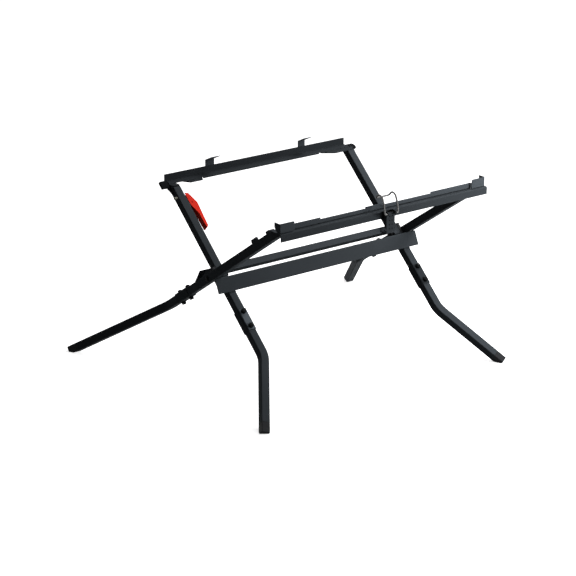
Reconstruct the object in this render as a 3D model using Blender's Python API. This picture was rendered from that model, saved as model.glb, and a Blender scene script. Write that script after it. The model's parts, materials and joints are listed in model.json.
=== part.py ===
"""Folding miter saw stand: two crossed tube frames that turn on one pivot line.

The inner frame's legs rise to the rear and carry the rear rail. The outer frame's legs rise
to the front and carry the front rail with its toggle latch. Each frame has a cross beam just
below the pivots, and each beam's fold is the stop under the other frame's legs. Metres, +Z
up, +X to the right along the rails, the floor at z = 0 and the pivot line over the origin.
"""

import math
from dataclasses import dataclass

import bmesh
import bpy
from mathutils import Vector

# Room between two pieces that touch or run on each other
GAP = 0.0003
HOLE_PLAY = 0.0003

# How far cutters reach: past the face that they trim, through a bolted joint, past everything
OVERCUT = 0.01
HOLE_REACH = 0.03
FAR = 0.7

# Leg tube
PIVOT_HEIGHT = 0.3353
TUBE_WIDTH = 0.0253
TUBE_HEIGHT = 0.0253
TUBE_WALL = 0.0015
TUBE_CORNER = 0.0025
TUBE_INSIDE_CORNER = 0.001
LEG_LENGTH_UNCUT = 0.43
SPLAY = math.radians(28.3)
BEND_RADIUS = 0.075
BEND_STEPS = 5

# Sleeve over the joint between an upper and a lower leg, measured down the leg from the pivot
SLEEVE_TOP = 0.1238
SLEEVE_BOTTOM = 0.1935
LEG_JOINT = 0.1575
SLEEVE_WALL = 0.002
SLEEVE_CORNER = 0.0042
SLEEVE_BOLTS = {"upper": 0.1339, "lower": 0.1818}
BOLT_RADIUS = 0.004
BOLT_HEAD_FLATS = 0.013
BOLT_HEAD_HEIGHT = 0.0064
BOLT_NUT_HEIGHT = 0.0051
BOLT_END_LENGTH = 0.0015
HEXAGON_CHAMFER = 0.0008
HEXAGON_CROWN = 0.46
WASHER_RADIUS = 0.0075
WASHER_HEIGHT = 0.0014

# Foot caps
FOOT_LENGTH = 0.033
FOOT_PLUG_LENGTH = 0.02
FOOT_PLUG_CORNER = 0.0009

# Pivots
PIVOT_RADIUS = 0.005
PIVOT_HEAD_RADIUS = 0.0085
PIVOT_HEAD_HEIGHT = 0.0035
PIVOT_HEAD_FALL = 0.8
PIVOT_NUT_FLATS = 0.017
PIVOT_NUT_HEIGHT = 0.0085
PIVOT_END_LENGTH = 0.0025
SPACER_HALF_LENGTH = 0.0259
SPACER_CORNER = 0.002

# Bent sheet
SHEET = 0.002
SHEET_BEND = 0.0015

# Cross beams: an angle section whose fold stands off the leg's upper face
BEAM_FOLD_DOWN = 0.0225
BEAM_FOLD_OUT = 0.0333
BEAM_TILT = math.radians(24.1)
BEAM_FACE = 0.0455
BEAM_FLANGE = 0.0235
BEAM_FLANGE_HALF_LENGTH = 0.3115
BEAM_END_STUB = 0.004
BEAM_NOTCH_BELOW = 0.0045

# Rear rail, from the pivot line
REAR_RAIL_HALF_LENGTH = 0.3364
REAR_RAIL_Y = 0.2675
REAR_RAIL_TOP = 0.2402
REAR_SHELF_Z = 0.2194
REAR_SHELF_FRONT_Y = 0.239
REAR_LIP = 0.0034
REAR_LIP_HALF_LENGTH = 0.217
GUSSET_THICKNESS = 0.0034
GUSSET_INNER_X = 0.2198
GUSSET_INNER_Y = 0.2394
GUSSET_SLANT_END = (0.2282, 0.2255)
GUSSET_NOTCH = ((0.2717, 0.2255), (0.2877, 0.2514))
GUSSET_FRONT_Y = 0.222
GUSSET_REAR_Y = 0.2665
GUSSET_CHAMFER = 0.004
HOOK_X = {"left": (-0.1878, -0.1555), "right": (0.1584, 0.185)}
HOOK_BOTTOM_Z = 0.2235
HOOK_FOLD_Z = 0.2576
HOOK_TIP = Vector((0.2385, 0.2723))

# Rest arm at the top of each inner leg, which lies on the outer leg when the stand is folded
ARM_END_X = 0.3655
ARM_LOW = 0.3151
ARM_HIGH = 0.3381
ARM_UPPER_SIDE = 0.002
ARM_LOWER_SIDE = -0.0079
ARM_ROOT_SIDE = -0.0124
ARM_ROOT_LENGTH = 0.0075
ARM_FILLET = 0.006
ARM_SOFTNESS = 0.0012

# Front rail, from the pivot line
FRONT_RAIL_HALF_LENGTH = 0.3744
FRONT_RAIL_Y = -0.3533
FRONT_RAIL_TOP = 0.2244
FRONT_RAIL_HEIGHT = 0.0225
FRONT_SHELF_REAR_Y = -0.304
SADDLE_Y = -0.3375
SADDLE_FOOT = 0.02
SADDLE_STEPS = (
    (-0.324, -0.2265, 0.2419),
    (-0.2265, -0.068, 0.2362),
    (-0.068, -0.008, 0.2416),
    (-0.008, 0.1715, 0.2363),
    (0.1715, 0.324, 0.2415),
)
STOP_Y = -0.3454
STOP_INNER_X = 0.322
STOP_OUTER_X = 0.3725
STOP_TOP = 0.252
STOP_REAR_Y = -0.3206
STOP_REAR_BOTTOM = 0.2375
STOP_SLANT_Y = -0.3335
STOP_CORNER = 0.004

# Keeper and bumpers on the upper side of the outer legs, measured up the leg from the pivot
KEEPER_SPAN = (0.2693, 0.3018)
KEEPER_TOP = 0.023
KEEPER_WIDTH = 0.006
KEEPER_SLOPE = 0.003
KEEPER_INSET = 0.001
BUMPER_SPAN = (0.3475, 0.3665)
BUMPER_TOP = 0.0203
BUMPER_CORNER = 0.003
BUMPER_INSET = 0.0025

# Toggle latch on the front rail, from the pivot line
LATCH_AXIS = Vector((0.0, -0.3623, 0.2194))
BAIL_AXIS = Vector((0.0, -0.3701, 0.2183))
LATCH_PIN_RADIUS = 0.002
LATCH_PIN_HEAD_RADIUS = 0.0034
LATCH_PIN_HEAD_HEIGHT = 0.0012
LATCH_LEVER_HALF_WIDTH = 0.0149
LATCH_SHEET = 0.0018
LATCH_BEND = 0.003
LATCH_FRONT_Y = -0.3668
LATCH_WEB_TOP = 0.2205
LATCH_BOTTOM = 0.1576
LATCH_HOOK_Y = -0.3376
LATCH_HOOK_TOP = 0.1696
LATCH_CHEEK = (
    (-0.3745, 0.2150),
    (-0.3745, 0.2210),
    (-0.3725, 0.2228),
    (-0.3660, 0.2245),
    (-0.3587, 0.2245),
    (-0.3562, 0.2215),
    (-0.3560, 0.2008),
    (-0.3425, 0.2008),
    (-0.3443, 0.1974),
    (-0.3521, 0.1883),
    (-0.3566, 0.1820),
    (-0.3640, 0.1740),
    (-0.3664, 0.1740),
    (-0.3664, 0.2138),
)
BRACKET_HALF_WIDTH = 0.0205
BRACKET_BOTTOM = 0.205
BRACKET_TOP = 0.2238
BRACKET_CORNER = 0.002
EAR_INNER_X = 0.0155
EAR_RADIUS = 0.005
BAIL_HALF_WIDTH = 0.0239
BAIL_WIRE_RADIUS = 0.002
BAIL_BEND = 0.0045
BAIL_ARCH = 0.012
BAIL_END_PLAY = 0.001
BAIL_SIDE = ((-0.3645, 0.2475), (-0.3578, 0.2644), (-0.3431, 0.2734), (-0.3285, 0.2576))

# Release lever and lock pin on the inner frame's left leg: x from the leg's inner face,
# then the distance up the leg from the pivot
RELEASE_AXIS = (0.010, 0.2453)
RELEASE_OUTLINE = (
    (0.0012, 0.2793),
    (0.0124, 0.2772),
    (0.0265, 0.2412),
    (0.0263, 0.2340),
    (0.0224, 0.1610),
    (0.0200, 0.1564),
    (0.0152, 0.1564),
    (0.0135, 0.2059),
    (0.0046, 0.2295),
    (0.0012, 0.2450),
)
RELEASE_CORNER = 0.0015
RELEASE_SIDES = (-0.0082, 0.0126)
RELEASE_MIDDLE = 0.006
LUG_THICKNESS = 0.005
LUG_PLAY = 0.0005
LUG_RADIUS = 0.0045
LUG_SLOT_DEPTH = 0.0165
LUG_SLOT_HALF_LENGTH = 0.012
RELEASE_FOOT_HALF_LENGTH = 0.011
RELEASE_FOOT_HALF_WIDTH = 0.0055
RELEASE_FOOT_THICKNESS = 0.0006
RELEASE_PIN_RADIUS = 0.002
RELEASE_PIN_INSET = 0.001
LOCK_UP = 0.2711
LOCK_RADIUS = 0.004
LOCK_NECK_RADIUS = 0.0025
LOCK_TIP_LENGTH = 0.0118
LOCK_TIP_CHAMFER = 0.0012
LOCK_HEAD_RADIUS = 0.0042
LOCK_HEAD_SPAN = (0.0051, 0.0071)
LOCK_SHOULDER = 0.0145
KEYWAY_LEDGE = 0.0046
KEYWAY_BACK = 0.0086
KEYWAY_REACH = 0.02
KEYWAY_NECK_PLAY = 0.0022
KEYWAY_HEAD_PLAY = 0.0017
KEYWAY_SIDE_PLAY = 0.0012
FOLD_ANGLE = math.radians(101)
SPRING_WIRE_RADIUS = 0.0006
SPRING_RADIUS = 0.0034
SPRING_TURNS = 4
SPRING_POINTS = 10

CORNER_STEPS = 3
HALF_TURN_STEPS = 8
ROUND_SIDES = 12
SIDES = {"left": -1, "right": 1}

# Colour, roughness and metal of each finish
FINISHES = {
    "black powder coat": ((0.030, 0.032, 0.036), 0.45, 0.0),
    "black rubber": ((0.018, 0.018, 0.020), 0.7, 0.0),
    "black oxide steel": ((0.035, 0.036, 0.040), 0.4, 0.6),
    "zinc plated steel": ((0.62, 0.62, 0.61), 0.28, 1.0),
    "red plastic": ((0.80, 0.055, 0.020), 0.4, 0.0),
}


@dataclass(frozen=True)
class Frame:
    """One of the two crossed frames."""

    name: str
    slope: float
    rise: int
    leg_x: float
    bend: float
    head_side: int

    def along(self, distance):
        """Local y of a point that lies this far up the legs from the pivot."""
        return self.rise * distance

    def foot_run(self):
        """Length of the splayed part, from the bend to where its axis meets the floor."""
        return (PIVOT_HEIGHT / math.sin(self.slope) - self.bend) / math.cos(SPLAY)


INNER = Frame("inner", math.radians(42.08), 1, 0.3259, 0.2778, 1)
OUTER = Frame("outer", math.radians(34.2), -1, 0.3607, 0.2583, -1)
FRAMES = (INNER, OUTER)


# Scene, materials and objects

def clear_scene():
    for obj in list(bpy.data.objects):
        bpy.data.objects.remove(obj, do_unlink=True)


def make_material(name, colour, roughness, metallic):
    material = bpy.data.materials.new(name)
    material.use_nodes = True
    shader = material.node_tree.nodes["Principled BSDF"]
    shader.inputs["Base Color"].default_value = (*colour, 1)
    shader.inputs["Roughness"].default_value = roughness
    shader.inputs["Metallic"].default_value = metallic
    material.diffuse_color = (*colour, 1)
    return material


def make_empty(name, location, parent=None, turn=0.0):
    empty = bpy.data.objects.new(name, None)
    bpy.context.collection.objects.link(empty)
    empty.location = location
    empty.rotation_euler.x = turn
    empty.parent = parent
    return empty


def make_object(name, mesh, parent, material=None, origin=(0, 0, 0)):
    """An object of the finished bmesh, with its own origin at origin, in its parent's space."""
    bmesh.ops.translate(mesh, vec=-Vector(origin), verts=mesh.verts)
    bmesh.ops.recalc_face_normals(mesh, faces=mesh.faces)
    data = bpy.data.meshes.new(name)
    mesh.to_mesh(data)
    mesh.free()
    data.shade_smooth()
    data.set_sharp_from_angle(angle=math.radians(32))
    obj = bpy.data.objects.new(name, data)
    bpy.context.collection.objects.link(obj)
    obj.location = origin
    obj.parent = parent
    if material:
        data.materials.append(material)
    return obj


def make_helper(name, mesh, parent):
    """A shape that only cuts or is joined to others."""
    helper = make_object(name, mesh, parent)
    helper.hide_render = True
    helper.display_type = "WIRE"
    return helper


def boolean(obj, helper, operation="DIFFERENCE"):
    modifier = obj.modifiers.new(helper.name, "BOOLEAN")
    modifier.operation = operation
    modifier.solver = "EXACT"
    modifier.object = helper


def soften(obj, width, segments=2):
    """Rounds the edges of an object that has no scale of its own."""
    modifier = obj.modifiers.new("soft edges", "BEVEL")
    modifier.width = width
    modifier.segments = segments
    modifier.limit_method = "ANGLE"


# Outlines and lines

def across_x(a, b, c):
    """An outline in y and z, drawn out along x."""
    return Vector((c, a, b))


def across_y(a, b, c):
    """An outline in x and z, drawn out along y."""
    return Vector((a, c, b))


def across_z(a, b, c):
    """An outline in x and y, drawn out along z."""
    return Vector((a, b, c))


def arc_corner(before, corner, after, radius, steps):
    back = (before - corner).normalized()
    ahead = (after - corner).normalized()
    half = back.angle(ahead) / 2
    centre = corner + (back + ahead).normalized() * radius / math.sin(half)
    reach = radius / math.tan(half)
    start = (corner + back * reach - centre).normalized()
    end = (corner + ahead * reach - centre).normalized()
    return [centre + start.slerp(end, step / steps) * radius for step in range(steps + 1)]


def rounded_line(points, radius, steps=3):
    """The open line through points with its inner corners rounded."""
    line = [points[0]]
    for corner in zip(points, points[1:], points[2:]):
        line += arc_corner(*corner, radius, steps)
    return line + [points[-1]]


def rounded_outline(points, radius, steps=3):
    """The closed outline through points with every corner rounded."""
    points = [Vector(point) for point in points]
    outline = []
    for index, corner in enumerate(points):
        after = points[(index + 1) % len(points)]
        outline += arc_corner(points[index - 1], corner, after, radius, steps)
    return outline


def rectangle(width, height):
    return [(-width / 2, -height / 2), (width / 2, -height / 2),
            (width / 2, height / 2), (-width / 2, height / 2)]


def box_outline(a_low, a_high, b_low, b_high):
    return [(a_low, b_low), (a_high, b_low), (a_high, b_high), (a_low, b_high)]


def on_circle(centre, radius, turn):
    return (centre[0] + radius * math.cos(turn), centre[1] + radius * math.sin(turn))


def circle(radius, centre=(0, 0)):
    step = 2 * math.pi / ROUND_SIDES
    return [on_circle(centre, radius, step * index) for index in range(ROUND_SIDES)]


def half_circle(radius, centre, start):
    step = math.pi / HALF_TURN_STEPS
    return [on_circle(centre, radius, start + step * index) for index in range(HALF_TURN_STEPS + 1)]


def hexagon(flats):
    """A hexagon with a point in the middle of each flat, so that it lofts to a circle."""
    step = 2 * math.pi / ROUND_SIDES
    reach = (flats / math.sqrt(3), flats / 2)
    return [on_circle((0, 0), reach[index % 2], step * index) for index in range(ROUND_SIDES)]


def parallel(points, distance):
    """The line beside an open line, to its left where distance is above zero."""
    sides = []
    for start, end in zip(points, points[1:]):
        run = (end - start).normalized()
        sides.append(Vector((-run.y, run.x)))
    line = [points[0] + sides[0] * distance]
    for point, before, after in zip(points[1:], sides, sides[1:]):
        middle = (before + after).normalized()
        line.append(point + middle * distance / middle.dot(before))
    return line + [points[-1] + sides[-1] * distance]


def sheet_outline(points, thickness, bend=SHEET_BEND):
    """Section of a bent sheet: points is one surface, the sheet lies to its left, or to its
    right where thickness is below zero."""
    points = [Vector(point) for point in points]
    other = parallel(points, thickness)
    first, last = points[0:2], points[1:3]
    turn = (first[1] - first[0]).cross(last[1] - last[0]) if len(points) > 2 else 0
    outside = bend + abs(thickness)
    radii = (bend, outside) if turn * thickness < 0 else (outside, bend)
    return rounded_line(points, radii[0]) + rounded_line(other, radii[1])[::-1]


# Solids

def prism(outline, low, high, place):
    mesh = bmesh.new()
    face = mesh.faces.new([mesh.verts.new(place(a, b, low)) for a, b in outline])
    grown = bmesh.ops.extrude_face_region(mesh, geom=[face])["geom"]
    ends = [part for part in grown if isinstance(part, bmesh.types.BMVert)]
    bmesh.ops.translate(mesh, vec=place(0, 0, high) - place(0, 0, low), verts=ends)
    return mesh


def loft(rings, ring_shaped=False):
    """A skin over rings of equal counts, with flat ends, or joined end to start."""
    mesh = bmesh.new()
    loops = [[mesh.verts.new(point) for point in ring] for ring in rings]
    pairs = list(zip(loops, loops[1:]))
    if ring_shaped:
        pairs.append((loops[-1], loops[0]))
    else:
        mesh.faces.new(loops[0][::-1])
        mesh.faces.new(loops[-1])
    for low, high in pairs:
        for index in range(len(low)):
            following = (index + 1) % len(low)
            mesh.faces.new((low[index], low[following], high[following], high[index]))
    return mesh


def stacked(stages, place):
    """Coaxial stages: each is a height and an outline, all with the same number of points."""
    return loft([[place(a, b, height) for a, b in outline] for height, outline in stages])


def section_ring(centre, ahead, outline):
    """An outline set square to a line in the frame's plane: a across the tube, b along z."""
    across = Vector((ahead.y, -ahead.x, 0))
    return [centre + across * a + Vector((0, 0, b)) for a, b in outline]


def line_directions(line):
    runs = [(end - start).normalized() for start, end in zip(line, line[1:])]
    middles = [(before + after).normalized() for before, after in zip(runs, runs[1:])]
    return [runs[0]] + middles + [runs[-1]]


def tube(line, width, height, wall, corner):
    """A rectangular tube with open ends along a line in the frame's plane."""
    outside = rounded_outline(rectangle(width, height), corner, CORNER_STEPS)
    inside = rounded_outline(
        rectangle(width - 2 * wall, height - 2 * wall), TUBE_INSIDE_CORNER, CORNER_STEPS
    )
    places = list(zip(line, line_directions(line)))
    rings = [section_ring(*place, outside) for place in places]
    rings += [section_ring(*place, inside) for place in places[::-1]]
    return loft(rings, ring_shaped=True)


# Legs

def leg_points(frame, side):
    """The joint, the bend and the foot of one leg, in the frame's tilted space."""
    x = side * frame.leg_x
    run = frame.foot_run()
    foot_x = x + side * math.sin(SPLAY) * run
    foot_down = frame.bend + math.cos(SPLAY) * run
    return (
        Vector((x, frame.along(-LEG_JOINT), 0)),
        Vector((x, frame.along(-frame.bend), 0)),
        Vector((foot_x, frame.along(-foot_down), 0)),
    )


def make_upper_leg(frame, label, side, parts, coat):
    """The leg above the joint, cut level under what it carries."""
    joint = leg_points(frame, side)[0]
    start = Vector((joint.x, frame.along(-LEG_JOINT + GAP / 2), 0))
    top = Vector((joint.x, frame.along(LEG_LENGTH_UNCUT), 0))
    mesh = tube([start, top], TUBE_WIDTH, TUBE_HEIGHT, TUBE_WALL, TUBE_CORNER)
    leg = make_object(f"{frame.name}_leg_{label}", mesh, parts.tilted[frame.name], coat)
    boolean(leg, parts.helpers[f"{frame.name}_top_cut"])
    boolean(leg, parts.helpers["pivot_hole"])
    boolean(leg, parts.helpers[f"{frame.name}_{label}_upper_hole"])
    return leg


def make_lower_leg(frame, label, side, parts, coat):
    """The leg below the joint: a straight run, a bend outwards and the splayed run."""
    joint, bend, foot = leg_points(frame, side)
    joint.y = frame.along(-LEG_JOINT - GAP / 2)
    end = foot + (bend - foot).normalized() * FOOT_LENGTH
    line = rounded_line([joint, bend, end], BEND_RADIUS, BEND_STEPS)
    mesh = tube(line, TUBE_WIDTH, TUBE_HEIGHT, TUBE_WALL, TUBE_CORNER)
    leg = make_object(f"{frame.name}_lower_leg_{label}", mesh, parts.tilted[frame.name], coat)
    boolean(leg, parts.helpers[f"{frame.name}_{label}_lower_hole"])


def make_foot(frame, label, side, parts, rubber):
    """A moulded cap: a plug in the tube and a flush end that is cut flat for the floor."""
    bend, foot = leg_points(frame, side)[1:]
    ahead = (foot - bend).normalized()
    play = TUBE_WALL + GAP
    plug = rounded_outline(
        rectangle(TUBE_WIDTH - 2 * play, TUBE_HEIGHT - 2 * play), FOOT_PLUG_CORNER, CORNER_STEPS
    )
    cap = rounded_outline(rectangle(TUBE_WIDTH, TUBE_HEIGHT), TUBE_CORNER, CORNER_STEPS)
    cap_start = foot - ahead * (FOOT_LENGTH - GAP)
    rings = [
        section_ring(cap_start - ahead * FOOT_PLUG_LENGTH, ahead, plug),
        section_ring(cap_start, ahead, plug),
        section_ring(cap_start, ahead, cap),
        section_ring(foot, ahead, cap),
    ]
    foot_cap = make_object(
        f"{frame.name}_foot_{label}", loft(rings), parts.tilted[frame.name], rubber
    )
    boolean(foot_cap, parts.helpers["below_floor"])


def make_sleeve(frame, label, side, parts, coat):
    x = side * frame.leg_x
    line = [Vector((x, frame.along(-down), 0)) for down in (SLEEVE_TOP, SLEEVE_BOTTOM)]
    around = 2 * (GAP + SLEEVE_WALL)
    mesh = tube(line, TUBE_WIDTH + around, TUBE_HEIGHT + around, SLEEVE_WALL, SLEEVE_CORNER)
    sleeve = make_object(f"{frame.name}_sleeve_{label}", mesh, parts.tilted[frame.name], coat)
    for level in SLEEVE_BOLTS:
        boolean(sleeve, parts.helpers[f"{frame.name}_{label}_{level}_hole"])


def make_sleeve_bolt(frame, label, side, level, parts, steel):
    """A hexagon bolt with its washer on the head side and its nut on the other."""
    seat = TUBE_HEIGHT / 2 + 2 * GAP + SLEEVE_WALL
    shank = circle(BOLT_RADIUS)
    washer = circle(WASHER_RADIUS)
    head = hexagon(BOLT_HEAD_FLATS)
    crown = circle(BOLT_HEAD_FLATS * HEXAGON_CROWN)
    washer_top = seat + WASHER_HEIGHT
    head_top = washer_top + BOLT_HEAD_HEIGHT
    nut_end = -seat - BOLT_NUT_HEIGHT
    stages = [
        (nut_end - BOLT_END_LENGTH, shank),
        (nut_end, shank),
        (nut_end, crown),
        (nut_end + HEXAGON_CHAMFER, head),
        (-seat, head),
        (-seat, shank),
        (seat, shank),
        (seat, washer),
        (washer_top, washer),
        (washer_top, head),
        (head_top - HEXAGON_CHAMFER, head),
        (head_top, crown),
    ]
    stages = [(frame.head_side * height, outline) for height, outline in stages]
    centre = Vector((side * frame.leg_x, frame.along(-SLEEVE_BOLTS[level]), 0))
    mesh = stacked(stages, lambda a, b, c: centre + Vector((a, b, c)))
    name = f"{frame.name}_sleeve_bolt_{label}_{level}"
    make_object(name, mesh, parts.tilted[frame.name], steel, centre)


def make_beam(frame, name, parts, coat):
    """An angle across both legs; its flange stops short of every leg, and its fold carries
    on as a narrow stub that lands under the other frame's legs."""
    fold = Vector((-BEAM_FOLD_DOWN, BEAM_FOLD_OUT))
    face = Vector((math.cos(BEAM_TILT), math.sin(BEAM_TILT)))
    flange = Vector((face.y, -face.x))
    section = [fold - face * BEAM_FACE, fold, fold + flange * BEAM_FLANGE]
    outline = [(frame.along(a), b) for a, b in sheet_outline(section, -SHEET)]
    half_length = OUTER.leg_x + TUBE_WIDTH / 2
    mesh = prism(outline, -half_length, half_length, across_x)
    beam = make_object(name, mesh, parts.tilted[frame.name], coat)
    notch_box = box_outline(
        -BEAM_NOTCH_BELOW, OVERCUT, BEAM_END_STUB, BEAM_FLANGE + OVERCUT
    )
    corners = [fold + face * along + flange * out for along, out in notch_box]
    notch = [(frame.along(a), b) for a, b in corners]
    for label, side in SIDES.items():
        ends = sorted((side * BEAM_FLANGE_HALF_LENGTH, side * (half_length + OVERCUT)))
        cutter = make_helper(
            f"{name}_{label}_notch", prism(notch, *ends, across_x), parts.tilted[frame.name]
        )
        boolean(beam, cutter)


# Pivots

def make_pivot_bolt(label, side, parts, steel):
    """Low domed head outside the outer leg, and a lock nut inside the inner leg."""
    outer_face = OUTER.leg_x + TUBE_WIDTH / 2 + GAP
    inner_face = INNER.leg_x - TUBE_WIDTH / 2 - GAP
    shank = circle(PIVOT_RADIUS)
    nut = hexagon(PIVOT_NUT_FLATS)
    nut_crown = circle(PIVOT_NUT_FLATS * HEXAGON_CROWN)
    nut_end = inner_face - PIVOT_NUT_HEIGHT
    stages = [
        (nut_end - PIVOT_END_LENGTH, shank),
        (nut_end, shank),
        (nut_end, nut_crown),
        (nut_end + HEXAGON_CHAMFER, nut),
        (inner_face, nut),
        (inner_face, shank),
        (outer_face, shank),
    ]
    for step in range(CORNER_STEPS + 1):
        rise = math.sin(math.pi / 2 * step / CORNER_STEPS)
        radius = PIVOT_HEAD_RADIUS * math.sqrt(1 - PIVOT_HEAD_FALL * rise ** 2)
        stages.append((outer_face + PIVOT_HEAD_HEIGHT * rise, circle(radius)))
    stages = [(side * height, outline) for height, outline in stages]
    make_object(f"pivot_bolt_{label}", stacked(stages, across_x), parts.level["outer"], steel)


def make_spacer(label, side, parts, plastic):
    """The block between the two legs of one side, fixed to the inner leg."""
    low = INNER.leg_x + TUBE_WIDTH / 2 + GAP
    high = OUTER.leg_x - TUBE_WIDTH / 2 - GAP
    half = SPACER_HALF_LENGTH
    outline = rounded_outline(
        box_outline(-half, half, -TUBE_HEIGHT / 2, TUBE_HEIGHT / 2), SPACER_CORNER
    )
    mesh = prism(outline, *sorted((side * low, side * high)), across_x)
    spacer = make_object(f"pivot_spacer_{label}", mesh, parts.tilted["inner"], plastic)
    boolean(spacer, parts.helpers["pivot_hole"])


# Rear rail

def make_rear_rail(parts, coat):
    """An upright flange, a shelf forward of it and a short lip between the gussets."""
    section = [
        (REAR_RAIL_Y, REAR_RAIL_TOP),
        (REAR_RAIL_Y, REAR_SHELF_Z),
        (REAR_SHELF_FRONT_Y, REAR_SHELF_Z),
        (REAR_SHELF_FRONT_Y, REAR_SHELF_Z - SHEET - REAR_LIP),
    ]
    outline = angle_with_lip(section)
    mesh = prism(outline, -REAR_RAIL_HALF_LENGTH, REAR_RAIL_HALF_LENGTH, across_x)
    rail = make_object("rear_rail", mesh, parts.level["inner"], coat)
    under_shelf = REAR_SHELF_Z - SHEET
    lip_box = box_outline(
        REAR_SHELF_FRONT_Y - OVERCUT, REAR_SHELF_FRONT_Y + OVERCUT,
        under_shelf - OVERCUT, under_shelf,
    )
    for label, side in SIDES.items():
        ends = sorted((side * REAR_LIP_HALF_LENGTH, side * (REAR_RAIL_HALF_LENGTH + OVERCUT)))
        cutter = make_helper(
            f"rear_lip_{label}_cut", prism(lip_box, *ends, across_x), parts.level["inner"]
        )
        boolean(rail, cutter)


def angle_with_lip(section):
    """The rail's section: its first fold opens upwards and its second opens downwards."""
    points = [Vector(point) for point in section]
    other = parallel(points, SHEET)
    visible = [points[0]]
    visible += arc_corner(points[0], points[1], points[2], SHEET_BEND, CORNER_STEPS)
    visible += arc_corner(points[1], points[2], points[3], SHEET_BEND + SHEET, CORNER_STEPS)
    visible.append(points[3])
    hidden = [other[0]]
    hidden += arc_corner(other[0], other[1], other[2], SHEET_BEND + SHEET, CORNER_STEPS)
    hidden += arc_corner(other[1], other[2], other[3], SHEET_BEND, CORNER_STEPS)
    hidden.append(other[3])
    return visible + hidden[::-1]


def make_gusset(label, side, parts, coat):
    """A corner plate on the leg's cut top, under the end of the rear shelf, notched beside
    the leg."""
    outer_x = INNER.leg_x + TUBE_WIDTH / 2
    inner_x = INNER.leg_x - TUBE_WIDTH / 2
    outline = [
        (GUSSET_INNER_X, GUSSET_REAR_Y),
        (GUSSET_INNER_X, GUSSET_INNER_Y),
        GUSSET_SLANT_END,
        *GUSSET_NOTCH,
        (inner_x, GUSSET_NOTCH[1][1]),
        (inner_x, GUSSET_FRONT_Y),
        (outer_x - GUSSET_CHAMFER, GUSSET_FRONT_Y),
        (outer_x, GUSSET_FRONT_Y + GUSSET_CHAMFER),
        (outer_x, GUSSET_REAR_Y),
    ]
    top = REAR_SHELF_Z - SHEET - GAP
    outline = [(side * x, y) for x, y in outline]
    mesh = prism(outline, top - GUSSET_THICKNESS, top, across_z)
    make_object(f"rear_gusset_{label}", mesh, parts.level["inner"], coat)


def make_hook(label, parts, coat):
    """A bent tab behind the rail's flange that reaches forward over the rail."""
    back = REAR_RAIL_Y + SHEET + GAP
    section = [(back, HOOK_BOTTOM_Z), (back, HOOK_FOLD_Z), HOOK_TIP]
    mesh = prism(sheet_outline(section, -SHEET), *HOOK_X[label], across_x)
    make_object(f"rear_hook_{label}", mesh, parts.level["inner"], coat)


def make_rest_arm(label, side, parts, coat):
    """The stub that carries the folded inner frame on the outer leg."""
    root_x = INNER.leg_x + TUBE_WIDTH / 2 + GAP
    root = Vector((root_x, ARM_ROOT_SIDE))
    corner = Vector((root_x + ARM_ROOT_LENGTH, ARM_LOWER_SIDE))
    tip = Vector((ARM_END_X, ARM_LOWER_SIDE))
    outline = [
        (root_x, ARM_UPPER_SIDE),
        *rounded_line([root, corner, tip], ARM_FILLET),
        (ARM_END_X, ARM_UPPER_SIDE),
    ]
    outline = [(side * x, up) for x, up in outline]
    mesh = prism(outline, INNER.along(ARM_LOW), INNER.along(ARM_HIGH), across_y)
    arm = make_object(f"rest_arm_{label}", mesh, parts.tilted["inner"], coat)
    soften(arm, ARM_SOFTNESS)


# Front rail

def make_front_rail(parts, coat):
    """The front face and the shelf on top of it, which covers the outer legs' ends."""
    section = [
        (FRONT_RAIL_Y, FRONT_RAIL_TOP - FRONT_RAIL_HEIGHT),
        (FRONT_RAIL_Y, FRONT_RAIL_TOP),
        (FRONT_SHELF_REAR_Y, FRONT_RAIL_TOP),
    ]
    outline = sheet_outline(section, -SHEET)
    mesh = prism(outline, -FRONT_RAIL_HALF_LENGTH, FRONT_RAIL_HALF_LENGTH, across_x)
    make_object("front_rail", mesh, parts.level["outer"], coat)


def make_saddle(parts, coat):
    """The upright strip on the front shelf: an angle whose top edge is stepped."""
    highest = max(step[2] for step in SADDLE_STEPS)
    bottom = FRONT_RAIL_TOP + GAP
    section = [(SADDLE_Y, highest), (SADDLE_Y, bottom), (SADDLE_Y + SADDLE_FOOT, bottom)]
    ends = (SADDLE_STEPS[0][0], SADDLE_STEPS[-1][1])
    saddle = make_object(
        "front_saddle",
        prism(sheet_outline(section, SHEET), *ends, across_x),
        parts.level["outer"],
        coat,
    )
    for index, (start, end, top) in enumerate(SADDLE_STEPS):
        if top == highest:
            continue
        gap_box = box_outline(start, end, top, highest + OVERCUT)
        cutter = make_helper(
            f"saddle_step_{index}",
            prism(gap_box, SADDLE_Y - OVERCUT, SADDLE_Y + OVERCUT, across_y),
            parts.level["outer"],
        )
        boolean(saddle, cutter)


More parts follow.
